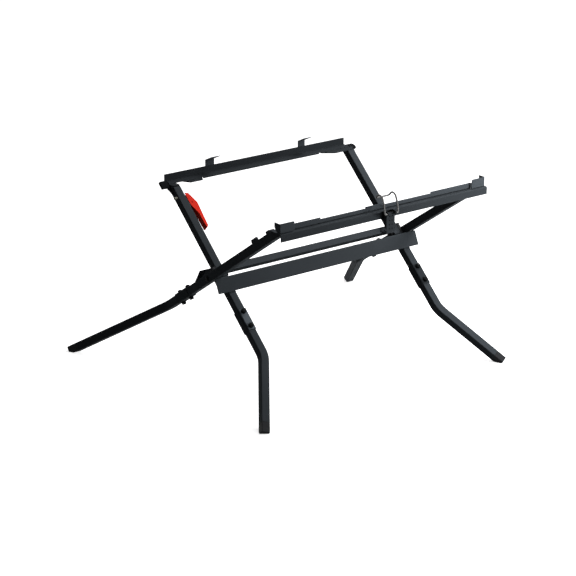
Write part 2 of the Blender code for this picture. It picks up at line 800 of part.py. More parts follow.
def make_corner_stop(label, side, parts, coat):
    """A bent plate on the front shelf: across the front and back along the rail's end."""
    section = [
        (side * STOP_INNER_X, STOP_Y),
        (side * STOP_OUTER_X, STOP_Y),
        (side * STOP_OUTER_X, STOP_REAR_Y),
    ]
    bottom = FRONT_RAIL_TOP + GAP
    mesh = prism(sheet_outline(section, side * SHEET), bottom, STOP_TOP, across_z)
    stop = make_object(f"corner_stop_{label}", mesh, parts.level["outer"], coat)
    slant = [
        (STOP_SLANT_Y, bottom - OVERCUT),
        (STOP_REAR_Y + OVERCUT, bottom - OVERCUT),
        (STOP_REAR_Y + OVERCUT, STOP_REAR_BOTTOM),
        (STOP_REAR_Y, STOP_REAR_BOTTOM),
        (STOP_SLANT_Y, bottom),
    ]
    ends = sorted((side * (STOP_OUTER_X - OVERCUT), side * (STOP_OUTER_X + OVERCUT)))
    cutter = make_helper(
        f"corner_stop_{label}_slant", prism(slant, *ends, across_x), parts.level["outer"]
    )
    boolean(stop, cutter)
    corner = rounding_cutter(side * STOP_INNER_X, STOP_TOP, side, STOP_CORNER)
    cutter = make_helper(
        f"corner_stop_{label}_corner",
        prism(corner, STOP_Y - OVERCUT, STOP_Y + OVERCUT, across_y),
        parts.level["outer"],
    )
    boolean(stop, cutter)


def rounding_cutter(x, z, side, radius):
    """What a rounded upper corner loses, with the corner at x and z."""
    below, along = Vector((x, z - radius)), Vector((x + side * radius, z))
    arc = arc_corner(below, Vector((x, z)), along, radius, CORNER_STEPS)
    beside, above = x - side * OVERCUT, z + OVERCUT
    return [*arc, (along.x, above), (beside, above), (beside, below.y)]


def make_keeper(parts, coat):
    """The raised tab on the leg's outer edge, near the lock pin's seat."""
    half = TUBE_WIDTH / 2 - KEEPER_INSET
    x = -OUTER.leg_x
    bottom = TUBE_HEIGHT / 2 + GAP
    ends = sorted(OUTER.along(up) for up in KEEPER_SPAN)
    outline = [
        (ends[0], bottom),
        (ends[1], bottom),
        (ends[1] - KEEPER_SLOPE, KEEPER_TOP),
        (ends[0] + KEEPER_SLOPE, KEEPER_TOP),
    ]
    make_object(
        "lock_keeper",
        prism(outline, x - half, x - half + KEEPER_WIDTH, across_x),
        parts.tilted["outer"],
        coat,
    )


def make_bumper(label, side, parts, rubber):
    """A rubber rest on the outer leg, rounded on top and cut flat where it sits."""
    half = TUBE_WIDTH / 2 - BUMPER_INSET
    x = side * OUTER.leg_x
    ends = sorted(OUTER.along(up) for up in BUMPER_SPAN)
    under_seat = TUBE_HEIGHT / 2 - BUMPER_CORNER
    outline = rounded_outline(box_outline(*ends, under_seat, BUMPER_TOP), BUMPER_CORNER)
    mesh = prism(outline, x - half, x + half, across_x)
    bumper = make_object(f"rest_bumper_{label}", mesh, parts.tilted["outer"], rubber)
    boolean(bumper, parts.helpers["bumper_seat"])


# Toggle latch

def make_latch_bracket(parts, steel):
    """A plate on the front rail with two ears that carry the lever's pin."""
    back = FRONT_RAIL_Y - GAP
    front = back - LATCH_SHEET
    plate = box_outline(-BRACKET_HALF_WIDTH, BRACKET_HALF_WIDTH, BRACKET_BOTTOM, BRACKET_TOP)
    plate = rounded_outline(plate, BRACKET_CORNER)
    bracket = make_object(
        "latch_bracket", prism(plate, front, back, across_y), parts.level["outer"], steel
    )
    in_plate = front + LATCH_SHEET / 2
    ear = [
        *half_circle(EAR_RADIUS, (LATCH_AXIS.y, LATCH_AXIS.z), math.pi / 2),
        (in_plate, LATCH_AXIS.z - EAR_RADIUS),
        (in_plate, LATCH_AXIS.z + EAR_RADIUS),
    ]
    for label, side in SIDES.items():
        ends = sorted((side * EAR_INNER_X, side * (EAR_INNER_X + LATCH_SHEET)))
        helper = make_helper(f"latch_ear_{label}", prism(ear, *ends, across_x), parts.level["outer"])
        boolean(bracket, helper, "UNION")
    boolean(bracket, parts.helpers["latch_pin_hole"])


def make_latch_pin(parts, steel):
    """A riveted pin through both ears and both cheeks of the lever."""
    seat = EAR_INNER_X + LATCH_SHEET + GAP
    end = seat + LATCH_PIN_HEAD_HEIGHT
    centre = (LATCH_AXIS.y, LATCH_AXIS.z)
    shank = circle(LATCH_PIN_RADIUS, centre)
    head = circle(LATCH_PIN_HEAD_RADIUS, centre)
    stages = [(-end, head), (-seat, head), (-seat, shank), (seat, shank), (seat, head), (end, head)]
    make_object("latch_pin", stacked(stages, across_x), parts.level["outer"], steel)


def make_latch_lever(parts, steel):
    """A pressed lever: a front web curled into a finger hook, and two cheeks with a lobe
    round both axes, a step under the rail and a taper."""
    half = LATCH_LEVER_HALF_WIDTH
    section = [
        (LATCH_FRONT_Y, LATCH_WEB_TOP),
        (LATCH_FRONT_Y, LATCH_BOTTOM),
        (LATCH_HOOK_Y, LATCH_BOTTOM),
        (LATCH_HOOK_Y, LATCH_HOOK_TOP),
    ]
    web = prism(sheet_outline(section, LATCH_SHEET, LATCH_BEND), -half, half, across_x)
    axis = parts.empties["latch"]
    bmesh.ops.translate(web, vec=-LATCH_AXIS, verts=web.verts)
    lever = make_object("latch_lever", web, axis, steel)
    for label, side in SIDES.items():
        ends = sorted((side * half, side * (half - LATCH_SHEET)))
        cheek = prism(LATCH_CHEEK, *ends, across_x)
        bmesh.ops.translate(cheek, vec=-LATCH_AXIS, verts=cheek.verts)
        boolean(lever, make_helper(f"latch_cheek_{label}", cheek, axis), "UNION")
    boolean(lever, parts.helpers["latch_pin_hole"])
    boolean(lever, parts.helpers["bail_hole"])


def make_bail(parts, wire):
    """One bent wire: its turned-in ends sit in the cheeks, and its bridge reaches back over
    a wide arch."""
    inner_end = LATCH_LEVER_HALF_WIDTH - LATCH_SHEET - BAIL_END_PLAY
    side_line = [(BAIL_AXIS.y, BAIL_AXIS.z), *BAIL_SIDE]
    left = [Vector((-BAIL_HALF_WIDTH, y, z)) for y, z in side_line]
    right = [Vector((BAIL_HALF_WIDTH, y, z)) for y, z in side_line[::-1]]
    start = Vector((-inner_end, BAIL_AXIS.y, BAIL_AXIS.z))
    end = Vector((inner_end, BAIL_AXIS.y, BAIL_AXIS.z))
    stops = [start, *left, *right, end]
    line = [start]
    for before, corner, after in zip(stops, stops[1:], stops[2:]):
        in_side = before.x == corner.x == after.x
        radius = BAIL_ARCH if in_side else BAIL_BEND
        line += arc_corner(before, corner, after, radius, CORNER_STEPS)
    line.append(end)
    curve = bpy.data.curves.new("wire_bail", "CURVE")
    curve.dimensions = "3D"
    curve.bevel_depth = BAIL_WIRE_RADIUS
    curve.bevel_resolution = 2
    curve.use_fill_caps = True
    spline = curve.splines.new("POLY")
    spline.points.add(len(line) - 1)
    for point, place in zip(spline.points, line):
        point.co = (*(place - BAIL_AXIS), 1)
    curve.materials.append(wire)
    bail = bpy.data.objects.new("wire_bail", curve)
    bpy.context.collection.objects.link(bail)
    bail.parent = parts.empties["bail"]


# Release lever and lock pin

def release_x(inward):
    """x of a point this far inboard of the left inner leg's inner face."""
    return -(INNER.leg_x - TUBE_WIDTH / 2) + inward


def release_origin():
    return Vector((release_x(RELEASE_AXIS[0]), RELEASE_AXIS[1], RELEASE_MIDDLE))


def make_release_bracket(parts, steel):
    """A foot on the leg's inner face with one lug that stands in the lever's slot."""
    up = RELEASE_AXIS[1]
    foot = box_outline(
        up - RELEASE_FOOT_HALF_LENGTH, up + RELEASE_FOOT_HALF_LENGTH,
        RELEASE_MIDDLE - RELEASE_FOOT_HALF_WIDTH, RELEASE_MIDDLE + RELEASE_FOOT_HALF_WIDTH,
    )
    mesh = prism(foot, release_x(GAP), release_x(GAP + RELEASE_FOOT_THICKNESS), across_x)
    bracket = make_object("release_bracket", mesh, parts.tilted["inner"], steel)
    in_foot = release_x(GAP + RELEASE_FOOT_THICKNESS / 2)
    lug = [
        *half_circle(LUG_RADIUS, (release_x(RELEASE_AXIS[0]), up), -math.pi / 2),
        (in_foot, up + LUG_RADIUS),
        (in_foot, up - LUG_RADIUS),
    ]
    half = LUG_THICKNESS / 2
    helper = make_helper(
        "release_lug",
        prism(lug, RELEASE_MIDDLE - half, RELEASE_MIDDLE + half, across_z),
        parts.tilted["inner"],
    )
    boolean(bracket, helper, "UNION")
    boolean(bracket, parts.helpers["release_pin_hole"])


def make_release_pin(parts, steel):
    low, high = RELEASE_SIDES
    outline = circle(RELEASE_PIN_RADIUS, (release_x(RELEASE_AXIS[0]), RELEASE_AXIS[1]))
    mesh = prism(outline, low + RELEASE_PIN_INSET, high - RELEASE_PIN_INSET, across_z)
    make_object("release_pin", mesh, parts.tilted["inner"], steel)


def make_release_lever(parts, plastic):
    """The moulded finger lever: a wedge at the pivot and a free arm beside the leg."""
    outline = [(release_x(inward), up) for inward, up in RELEASE_OUTLINE]
    outline = rounded_outline(outline, RELEASE_CORNER)
    mesh = prism(outline, *RELEASE_SIDES, across_z)
    lever = make_object(
        "release_lever", mesh, parts.tilted["inner"], plastic, release_origin()
    )
    for name in ("release_lug_slot", "lock_head_pocket", "release_pin_hole"):
        boolean(lever, parts.helpers[name])


def make_lock_pin(parts, steel):
    """A stepped pin through the leg: thick outside, a thin neck to the lever, and a head."""
    outer_face = -(INNER.leg_x + TUBE_WIDTH / 2)
    centre = (LOCK_UP, RELEASE_MIDDLE)
    shank = circle(LOCK_RADIUS, centre)
    tip = circle(LOCK_RADIUS - LOCK_TIP_CHAMFER, centre)
    neck = circle(LOCK_NECK_RADIUS, centre)
    head = circle(LOCK_HEAD_RADIUS, centre)
    tip_end = outer_face - LOCK_TIP_LENGTH
    shoulder = release_x(-LOCK_SHOULDER)
    head_start, head_end = (release_x(inward) for inward in LOCK_HEAD_SPAN)
    stages = [
        (tip_end, tip),
        (tip_end + LOCK_TIP_CHAMFER, shank),
        (shoulder, shank),
        (shoulder, neck),
        (head_start, neck),
        (head_start, head),
        (head_end, head),
    ]
    make_object("lock_pin", stacked(stages, across_x), parts.tilted["inner"], steel)


def make_lock_spring(parts, steel):
    """The coil round the pin's neck, between its shoulder and the leg's inner wall."""
    start = release_x(-LOCK_SHOULDER) + SPRING_WIRE_RADIUS + GAP
    end = release_x(-TUBE_WALL) - SPRING_WIRE_RADIUS - GAP
    count = SPRING_TURNS * SPRING_POINTS
    curve = bpy.data.curves.new("lock_spring", "CURVE")
    curve.dimensions = "3D"
    curve.bevel_depth = SPRING_WIRE_RADIUS
    curve.bevel_resolution = 1
    curve.use_fill_caps = True
    spline = curve.splines.new("POLY")
    spline.points.add(count)
    for index, point in enumerate(spline.points):
        turn = 2 * math.pi * index / SPRING_POINTS
        x = start + (end - start) * index / count
        y = LOCK_UP + SPRING_RADIUS * math.cos(turn)
        z = RELEASE_MIDDLE + SPRING_RADIUS * math.sin(turn)
        point.co = (x, y, z, 1)
    curve.materials.append(steel)
    spring = bpy.data.objects.new("lock_spring", curve)
    bpy.context.collection.objects.link(spring)
    spring.parent = parts.tilted["inner"]


# Helpers that more than one piece uses

class Parts:
    """The empties that pieces hang from, and the shared cutters."""

    def __init__(self):
        pivot = (0, 0, PIVOT_HEIGHT)
        self.level = {}
        self.tilted = {}
        for frame in FRAMES:
            level = make_empty(f"{frame.name}_frame_axis", pivot)
            turn = frame.rise * frame.slope
            self.level[frame.name] = level
            self.tilted[frame.name] = make_empty(f"{frame.name}_frame_plane", (0, 0, 0), level, turn)
        latch = make_empty("latch_axis", LATCH_AXIS, self.level["outer"])
        bail = make_empty("bail_axis", BAIL_AXIS - LATCH_AXIS, latch)
        self.empties = {"latch": latch, "bail": bail}
        self.helpers = {}
        self.add_floor_and_top_cuts()
        self.add_bolt_holes()
        self.add_latch_holes()
        self.add_release_cuts()

    def add(self, name, mesh, parent):
        self.helpers[name] = make_helper(name, mesh, parent)

    def add_floor_and_top_cuts(self):
        below = prism(box_outline(-FAR, FAR, -FAR, FAR), -FAR, 0, across_z)
        self.add("below_floor", below, None)
        gusset_underside = REAR_SHELF_Z - SHEET - GAP - GUSSET_THICKNESS
        above = box_outline(0, FAR, gusset_underside - GAP, FAR)
        self.add("inner_top_cut", prism(above, -FAR, FAR, across_x), self.level["inner"])
        under = FRONT_RAIL_TOP - SHEET - GAP
        behind = FRONT_RAIL_Y + SHEET + GAP
        around = [(0, under), (behind + SHEET_BEND, under), (behind, under - SHEET_BEND),
                  (behind, 0), (-FAR, 0), (-FAR, FAR), (0, FAR)]
        self.add("outer_top_cut", prism(around, -FAR, FAR, across_x), self.level["outer"])
        seat = box_outline(-FAR, 0, 0, TUBE_HEIGHT / 2 + GAP)
        self.add("bumper_seat", prism(seat, -FAR, FAR, across_x), self.tilted["outer"])

    def add_bolt_holes(self):
        pivot_hole = circle(PIVOT_RADIUS + HOLE_PLAY)
        self.add("pivot_hole", prism(pivot_hole, -FAR, FAR, across_x), self.level["outer"])
        for frame in FRAMES:
            for label, side in SIDES.items():
                for level, down in SLEEVE_BOLTS.items():
                    centre = (side * frame.leg_x, frame.along(-down))
                    hole = circle(BOLT_RADIUS + HOLE_PLAY, centre)
                    mesh = prism(hole, -HOLE_REACH, HOLE_REACH, across_z)
                    self.add(f"{frame.name}_{label}_{level}_hole", mesh, self.tilted[frame.name])

    def add_latch_holes(self):
        for name, axis, radius in (
            ("latch_pin_hole", LATCH_AXIS, LATCH_PIN_RADIUS),
            ("bail_hole", BAIL_AXIS, BAIL_WIRE_RADIUS),
        ):
            hole = circle(radius + HOLE_PLAY, (axis.y, axis.z))
            self.add(name, prism(hole, -HOLE_REACH, HOLE_REACH, across_x), self.level["outer"])

    def add_release_cuts(self):
        inner = self.tilted["inner"]
        pivot = (release_x(RELEASE_AXIS[0]), RELEASE_AXIS[1])
        hole = circle(RELEASE_PIN_RADIUS + HOLE_PLAY, pivot)
        self.add("release_pin_hole", prism(hole, -HOLE_REACH, HOLE_REACH, across_z), inner)
        half = LUG_THICKNESS / 2 + LUG_PLAY
        slot = box_outline(
            release_x(-OVERCUT), release_x(LUG_SLOT_DEPTH),
            pivot[1] - LUG_SLOT_HALF_LENGTH, pivot[1] + LUG_SLOT_HALF_LENGTH,
        )
        slot_mesh = prism(slot, RELEASE_MIDDLE - half, RELEASE_MIDDLE + half, across_z)
        self.add("release_lug_slot", slot_mesh, inner)
        self.add("lock_head_pocket", lock_pocket(), inner)
        place = Vector((LOCK_UP, RELEASE_MIDDLE))
        pin_hole = circle(LOCK_RADIUS + HOLE_PLAY, place)
        neck_hole = circle(LOCK_NECK_RADIUS + HOLE_PLAY, place)
        self.add("lock_pin_hole", prism(pin_hole, -FAR, -INNER.leg_x, across_x), inner)
        self.add("lock_neck_hole", prism(neck_hole, -INNER.leg_x, 0, across_x), inner)
        folded_turn = math.atan2(place.y, place.x) + INNER.slope + FOLD_ANGLE
        folded_place = on_circle((0, 0), place.length, folded_turn)
        wall = TUBE_WIDTH / 2 - OUTER.leg_x
        seat = circle(LOCK_RADIUS + HOLE_PLAY, folded_place)
        seat_mesh = prism(seat, wall - TUBE_WALL * 2, wall + TUBE_WALL, across_x)
        self.add("lock_seat", seat_mesh, self.level["outer"])


def lock_pocket():
    """A keyway in the lever: a narrow part for the pin's neck and a wide one for its head."""
    low = LOCK_UP - LOCK_NECK_RADIUS - KEYWAY_NECK_PLAY
    wide_low = LOCK_UP - LOCK_HEAD_RADIUS - KEYWAY_HEAD_PLAY
    high = LOCK_UP + KEYWAY_REACH
    mouth, ledge, back = (release_x(inward) for inward in (-OVERCUT, KEYWAY_LEDGE, KEYWAY_BACK))
    outline = [(mouth, low), (ledge, low), (ledge, wide_low), (back, wide_low),
               (back, high), (mouth, high)]
    half = LOCK_HEAD_RADIUS + KEYWAY_SIDE_PLAY
    return prism(outline, RELEASE_MIDDLE - half, RELEASE_MIDDLE + half, across_z)


# The lock pin's holes: through the inner frame's left leg, and its seat in the outer one
LOCK_HOLES = {
    ("inner", "left"): ("lock_pin_hole", "lock_neck_hole"),
    ("outer", "left"): ("lock_seat",),
}


def make_frames(parts, coat, rubber, steel):
    for frame in FRAMES:
        for label, side in SIDES.items():
            leg = make_upper_leg(frame, label, side, parts, coat)
            for hole in LOCK_HOLES.get((frame.name, label), ()):
                boolean(leg, parts.helpers[hole])
            make_lower_leg(frame, label, side, parts, coat)
            make_foot(frame, label, side, parts, rubber)
            make_sleeve(frame, label, side, parts, coat)
            for level in SLEEVE_BOLTS:
                make_sleeve_bolt(frame, label, side, level, parts, steel)
    make_beam(INNER, "front_beam", parts, coat)
    make_beam(OUTER, "rear_beam", parts, coat)


def main():
    clear_scene()
    materials = [make_material(name, *finish) for name, finish in FINISHES.items()]
    coat, rubber, black_steel, bright_steel, red = materials
    parts = Parts()
    make_frames(parts, coat, rubber, black_steel)
    for label, side in SIDES.items():
        make_pivot_bolt(label, side, parts, black_steel)
        make_spacer(label, side, parts, rubber)
        make_gusset(label, side, parts, coat)
        make_hook(label, parts, coat)
        make_rest_arm(label, side, parts, coat)
        make_corner_stop(label, side, parts, coat)
        make_bumper(label, side, parts, rubber)
    make_rear_rail(parts, coat)
    make_front_rail(parts, coat)
    make_saddle(parts, coat)
    make_keeper(parts, coat)
    make_latch_bracket(parts, black_steel)
    make_latch_pin(parts, bright_steel)
    make_latch_lever(parts, coat)
    make_bail(parts, bright_steel)
    make_release_bracket(parts, black_steel)
    make_release_pin(parts, bright_steel)
    make_release_lever(parts, red)
    make_lock_pin(parts, bright_steel)
    make_lock_spring(parts, bright_steel)


main()
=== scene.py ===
"""Looks of a folding saw stand: coats, softened edges, fasteners, welds and the studio.

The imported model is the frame. Each piece here is a finished form of one or more of its
nodes, in the same metres, and rides on the body that the node belongs to.
"""

import json
import math

import bmesh
import bpy
from bpy.props import FloatProperty, FloatVectorProperty, IntProperty, PointerProperty
from mathutils import Matrix, Vector

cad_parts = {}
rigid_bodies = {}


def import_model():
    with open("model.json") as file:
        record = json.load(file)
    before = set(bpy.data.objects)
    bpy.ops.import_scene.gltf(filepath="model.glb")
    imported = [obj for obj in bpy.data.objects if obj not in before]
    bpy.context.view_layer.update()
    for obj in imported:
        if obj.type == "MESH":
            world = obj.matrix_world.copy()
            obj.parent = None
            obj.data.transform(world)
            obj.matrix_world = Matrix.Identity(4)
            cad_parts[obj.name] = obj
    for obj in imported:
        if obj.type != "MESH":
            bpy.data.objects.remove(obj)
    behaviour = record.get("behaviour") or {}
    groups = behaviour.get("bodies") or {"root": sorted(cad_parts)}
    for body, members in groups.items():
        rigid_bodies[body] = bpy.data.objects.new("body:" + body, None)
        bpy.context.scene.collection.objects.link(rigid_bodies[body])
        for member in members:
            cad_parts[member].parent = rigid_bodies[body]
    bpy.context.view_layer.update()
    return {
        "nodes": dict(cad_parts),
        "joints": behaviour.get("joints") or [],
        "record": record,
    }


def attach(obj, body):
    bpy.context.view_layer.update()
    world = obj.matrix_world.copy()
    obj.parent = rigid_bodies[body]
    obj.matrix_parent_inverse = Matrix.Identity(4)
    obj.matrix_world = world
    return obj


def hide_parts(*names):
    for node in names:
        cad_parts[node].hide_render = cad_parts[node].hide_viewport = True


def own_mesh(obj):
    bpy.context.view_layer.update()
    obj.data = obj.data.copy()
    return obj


bl_info = {
    "name": "Saw stand finishes",
    "version": (1, 0, 0),
    "blender": (4, 5, 0),
    "location": "3D View > Sidebar > Saw stand",
    "description": "Dresses the packed frame of a folding saw stand",
    "category": "Object",
}

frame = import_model()

NODES = frame["nodes"]
BODY_OF = {node: body for body, members in frame["record"]["behaviour"]["bodies"].items()
           for node in members}
JOINTS = {joint["name"]: joint for joint in frame["joints"]}
PIVOT = Vector(JOINTS["fold_hinge"]["pos_m"])
SIDES = {"left": -1, "right": 1}

# Leg tube and the splayed lower legs
TUBE_WIDTH = 0.0253
TUBE_HEIGHT = 0.0253
TUBE_WALL = 0.0015
TUBE_CORNER = 0.0025
TUBE_HALF = TUBE_WIDTH / 2
LEG_JOINT = 0.1575
LEG_JOINT_GAP = 0.0003
SPLAY = math.radians(28.3)
BEND_RADIUS = 0.075
FOOT_LENGTH = 0.033
SLEEVE_SEAT = 0.01525
SLEEVE_BOLTS = {"upper": 0.1339, "lower": 0.1818}
TUBE_CORNER_STEPS = 6
BEND_STEPS = 16

# Places of the drawn corner plate and rest arms
GUSSET_TOP = 0.2171
GUSSET_THICKNESS = 0.0034
GUSSET_RIGHT = (
    (0.2198, 0.2665), (0.2285, 0.2400), (0.2615, 0.2160), (0.3100, 0.2160), (0.3346, 0.2190),
    (0.3386, 0.2290), (0.3500, 0.2396), (0.3590, 0.2665),
)
ARM_LOWER_SIDE = -0.0079
ARM_UPPER_SIDE = 0.0020
ARM_LEFT = (
    (0.3389, 0.3381), (0.3655, 0.3381), (0.3655, 0.3151), (0.3480, 0.3151), (0.3455, 0.3085),
    (0.3425, 0.2990), (0.3389, 0.2850),
)
ARM_RIGHT = (
    (0.3389, 0.3330), (0.3490, 0.3330), (0.3550, 0.3300), (0.3590, 0.3240), (0.3596, 0.3155),
    (0.3477, 0.3151), (0.3475, 0.3050), (0.3455, 0.2970), (0.3389, 0.2900),
)

# The latch lever's dimples, the bail's wire and the lock's spring
LATCH_FRONT_Y = -0.3668
DIMPLE_X = (-0.0045, 0.0052)
DIMPLE_TOP = 0.2093
DIMPLE_STEP = 0.0123
DIMPLE_ROWS = 4
DIMPLE_RADIUS = 0.0019
DIMPLE_DEPTH = 0.0009
WIRE_PLATING = 0.0006

# Where the weld beads run
BEAM_WELDS = (-0.0660, -0.0112)
WELD_INSET = 0.001
ARM_WELD = (0.2930, 0.3300)
RAIL_TOP = 0.2244
STOP_WELD_Y = -0.3462
STOP_WELD = (0.3260, 0.3690)
SADDLE_WELD_Y = -0.3355
SADDLE_WELD_STARTS = (-0.300, -0.190, -0.080, 0.030, 0.140, 0.250)
SADDLE_WELD_LENGTH = 0.022
HOOK_WELD_X = 0.1580
HOOK_WELD_Y = 0.2700
HOOK_WELD = (0.2262, 0.2378)

# Ends of the bolts, and the collar under each nut
HEAD_END = 0.0001
HEAD_END_SHARE = 0.9
NUT_TRIM = 0.0004
NUT_COLLAR = 0.0003
NUT_COLLAR_SHARE = 0.47
THREAD_END = 0.0016

# Radii left on the edges
TUBE_EDGE = 0.0003
SLEEVE_EDGE = 0.0004
ARM_EDGE = 0.0008
FOOT_EDGE = 0.0007
BUMPER_EDGE = 0.0012
SPACER_EDGE = 0.0004
PIN_EDGE = 0.0003
LATCH_LEVER_EDGE = 0.00035
LATCH_BRACKET_EDGE = 0.0003
LATCH_PIN_EDGE = 0.0004
WIRE_EDGE = 0.0001
RELEASE_LEVER_EDGE = 0.0011
RELEASE_BRACKET_EDGE = 0.0002
SPRING_EDGE = 0.00005

# Angles in degrees, over which an edge is rounded or stays sharp
SHEET_SHARP = 35
PIN_SHARP = 50
WIRE_SHARP = 80
SMOOTH_ANGLE = 48
HEXAGON_ANGLE = 28
DIMPLE_ANGLE = 25
FLAT_ANGLE = 0.6

# Limits for picking out faces and joining vertices
MERGE_DISTANCE = 0.00001
EDGE_SLACK = 1.2
FACING = 0.98

# Studio
SENSOR_WIDTH = 36
CAMERA_SHIFT = (0.0025, -0.0022)
LAMP_SIZES = {"key": 1.5, "front": 0.6, "side": 0.5}
FLOOR_HALF = 30
FLOOR_LIT = (0.15, 0.15, 0.15)
FLOOR_SEEN = (0.9, 0.9, 0.9)
GLOW_SPAN = (0.9, 1.6)
GLOW = (0.8, 1.0)


class LegFrame:
    """One crossed frame: its slope, the way its legs rise and where they bend."""

    def __init__(self, name, slope, rise, leg_x, bend, head_side):
        self.name = name
        self.rise = rise
        self.leg_x = leg_x
        self.bend = bend
        self.head_side = head_side
        self.slope = math.radians(slope)
        self.space = Matrix.Translation(PIVOT) @ Matrix.Rotation(rise * self.slope, 4, "X")

    def point(self, x, up, out):
        """World place of a point up the legs from the pivot and out of their plane."""
        return self.space @ Vector((x, self.rise * up, out))

    def out(self):
        """Unit normal of the frame's plane, on its upper side."""
        return (self.space.to_3x3() @ Vector((0, 0, 1))).normalized()


INNER = LegFrame("inner", 42.08, 1, 0.3259, 0.2778, 1)
OUTER = LegFrame("outer", 34.2, -1, 0.3607, 0.2583, -1)
FRAMES = (INNER, OUTER)


# Settings

class CoatSettings(bpy.types.PropertyGroup):
    """The black powder coat on tube and sheet"""

    colour: FloatVectorProperty(
        name="Coat colour", description="Base colour of the powder coat",
        subtype="COLOR", size=3, min=0, max=1, default=(0.0335, 0.0385, 0.0435),
    )
    roughness: FloatProperty(
        name="Roughness", description="Middle roughness of the satin coat",
        subtype="FACTOR", min=0, max=1, default=0.72,
    )
    grain: FloatProperty(
        name="Grain size", description="Width of the coat's orange-peel bumps",
        subtype="DISTANCE", unit="LENGTH", min=0.0003, max=0.01, default=0.0014,
    )
    grain_depth: FloatProperty(
        name="Grain depth", description="Height of the coat's orange-peel bumps",
        subtype="DISTANCE", unit="LENGTH", min=0, max=0.001, default=0.00005,
    )
    edge: FloatProperty(
        name="Sheet edge", description="Radius that the coat leaves on cut sheet edges",
        subtype="DISTANCE", unit="LENGTH", min=0.0001, max=0.002, default=0.00045,
    )


class FastenerSettings(bpy.types.PropertyGroup):
    """Hexagon bolts through the leg sleeves"""

    flats: FloatProperty(
        name="Across flats", description="Width of the bolt's head and nut",
        subtype="DISTANCE", unit="LENGTH", min=0.005, max=0.03, default=0.013,
    )
    head: FloatProperty(
        name="Head height", description="Height of the bolt's head",
        subtype="DISTANCE", unit="LENGTH", min=0.002, max=0.02, default=0.0061,
    )
    nut: FloatProperty(
        name="Nut height", description="Height of the nut",
        subtype="DISTANCE", unit="LENGTH", min=0.002, max=0.02, default=0.005,
    )
    shank: FloatProperty(
        name="Shank radius", description="Radius of the bolt's threaded end",
        subtype="DISTANCE", unit="LENGTH", min=0.001, max=0.01, default=0.0039,
    )
    washer: FloatProperty(
        name="Washer radius", description="Radius of the washer under the head",
        subtype="DISTANCE", unit="LENGTH", min=0.003, max=0.02, default=0.0074,
    )
    washer_height: FloatProperty(
        name="Washer height", description="Thickness of the washer",
        subtype="DISTANCE", unit="LENGTH", min=0.0002, max=0.004, default=0.0014,
    )


class WeldSettings(bpy.types.PropertyGroup):
    """Weld beads under the coat"""

    radius: FloatProperty(
        name="Bead radius", description="Half the width of a weld bead",
        subtype="DISTANCE", unit="LENGTH", min=0.0005, max=0.006, default=0.0019,
    )
    pitch: FloatProperty(
        name="Ripple pitch", description="Distance between two ripples of a bead",
        subtype="DISTANCE", unit="LENGTH", min=0.0003, max=0.006, default=0.0013,
    )
    seed: IntProperty(
        name="Seed", description="Seed of the ripples' uneven sizes", min=0, default=4,
    )


class StageSettings(bpy.types.PropertyGroup):
    """Camera, lamps and floor"""

    azimuth: FloatProperty(
        name="Azimuth", description="Camera's turn round the stand",
        subtype="ANGLE", unit="ROTATION", default=math.radians(-37.02),
    )
    elevation: FloatProperty(
        name="Elevation", description="Camera's height over the horizon",
        subtype="ANGLE", unit="ROTATION", default=math.radians(19.67),
    )
    distance: FloatProperty(
        name="Distance", description="From the camera to the point that it looks at",
        subtype="DISTANCE", unit="LENGTH", default=6.077,
    )
    lens: FloatProperty(
        name="Lens", description="Focal length on a 36 mm wide sensor, in millimetres",
        default=127.97,
    )
    aim: FloatVectorProperty(
        name="Aim", description="Point that the camera looks at",
        subtype="TRANSLATION", unit="LENGTH", size=3, default=(-0.0767, 0.0161, 0.2421),
    )
    key_place: FloatVectorProperty(
        name="Key lamp", description="Place of the large lamp, over the stand's right side",
        subtype="TRANSLATION", unit="LENGTH", size=3, default=(1.25, 0.20, 2.20),
    )
    key_power: FloatProperty(
        name="Key power", description="Power of the large lamp", unit="POWER", default=48,
    )
    front_place: FloatVectorProperty(
        name="Front lamp", description="Place of the low lamp in front of the right side",
        subtype="TRANSLATION", unit="LENGTH", size=3, default=(0.92, -1.12, 0.66),
    )
    front_power: FloatProperty(
        name="Front power", description="Power of the low front lamp", unit="POWER", default=18.5,
    )
    side_place: FloatVectorProperty(
        name="Side lamp", description="Place of the small lamp near the right side",
        subtype="TRANSLATION", unit="LENGTH", size=3, default=(1.1, -0.5, 1.3),
    )
    side_power: FloatProperty(
        name="Side power", description="Power of the small side lamp", unit="POWER", default=9.2,
    )
    ambient: FloatProperty(
        name="Ambient", description="Light from all round", min=0, max=2, default=0.08,
    )


# Shader nodes

EDGE = "edge"


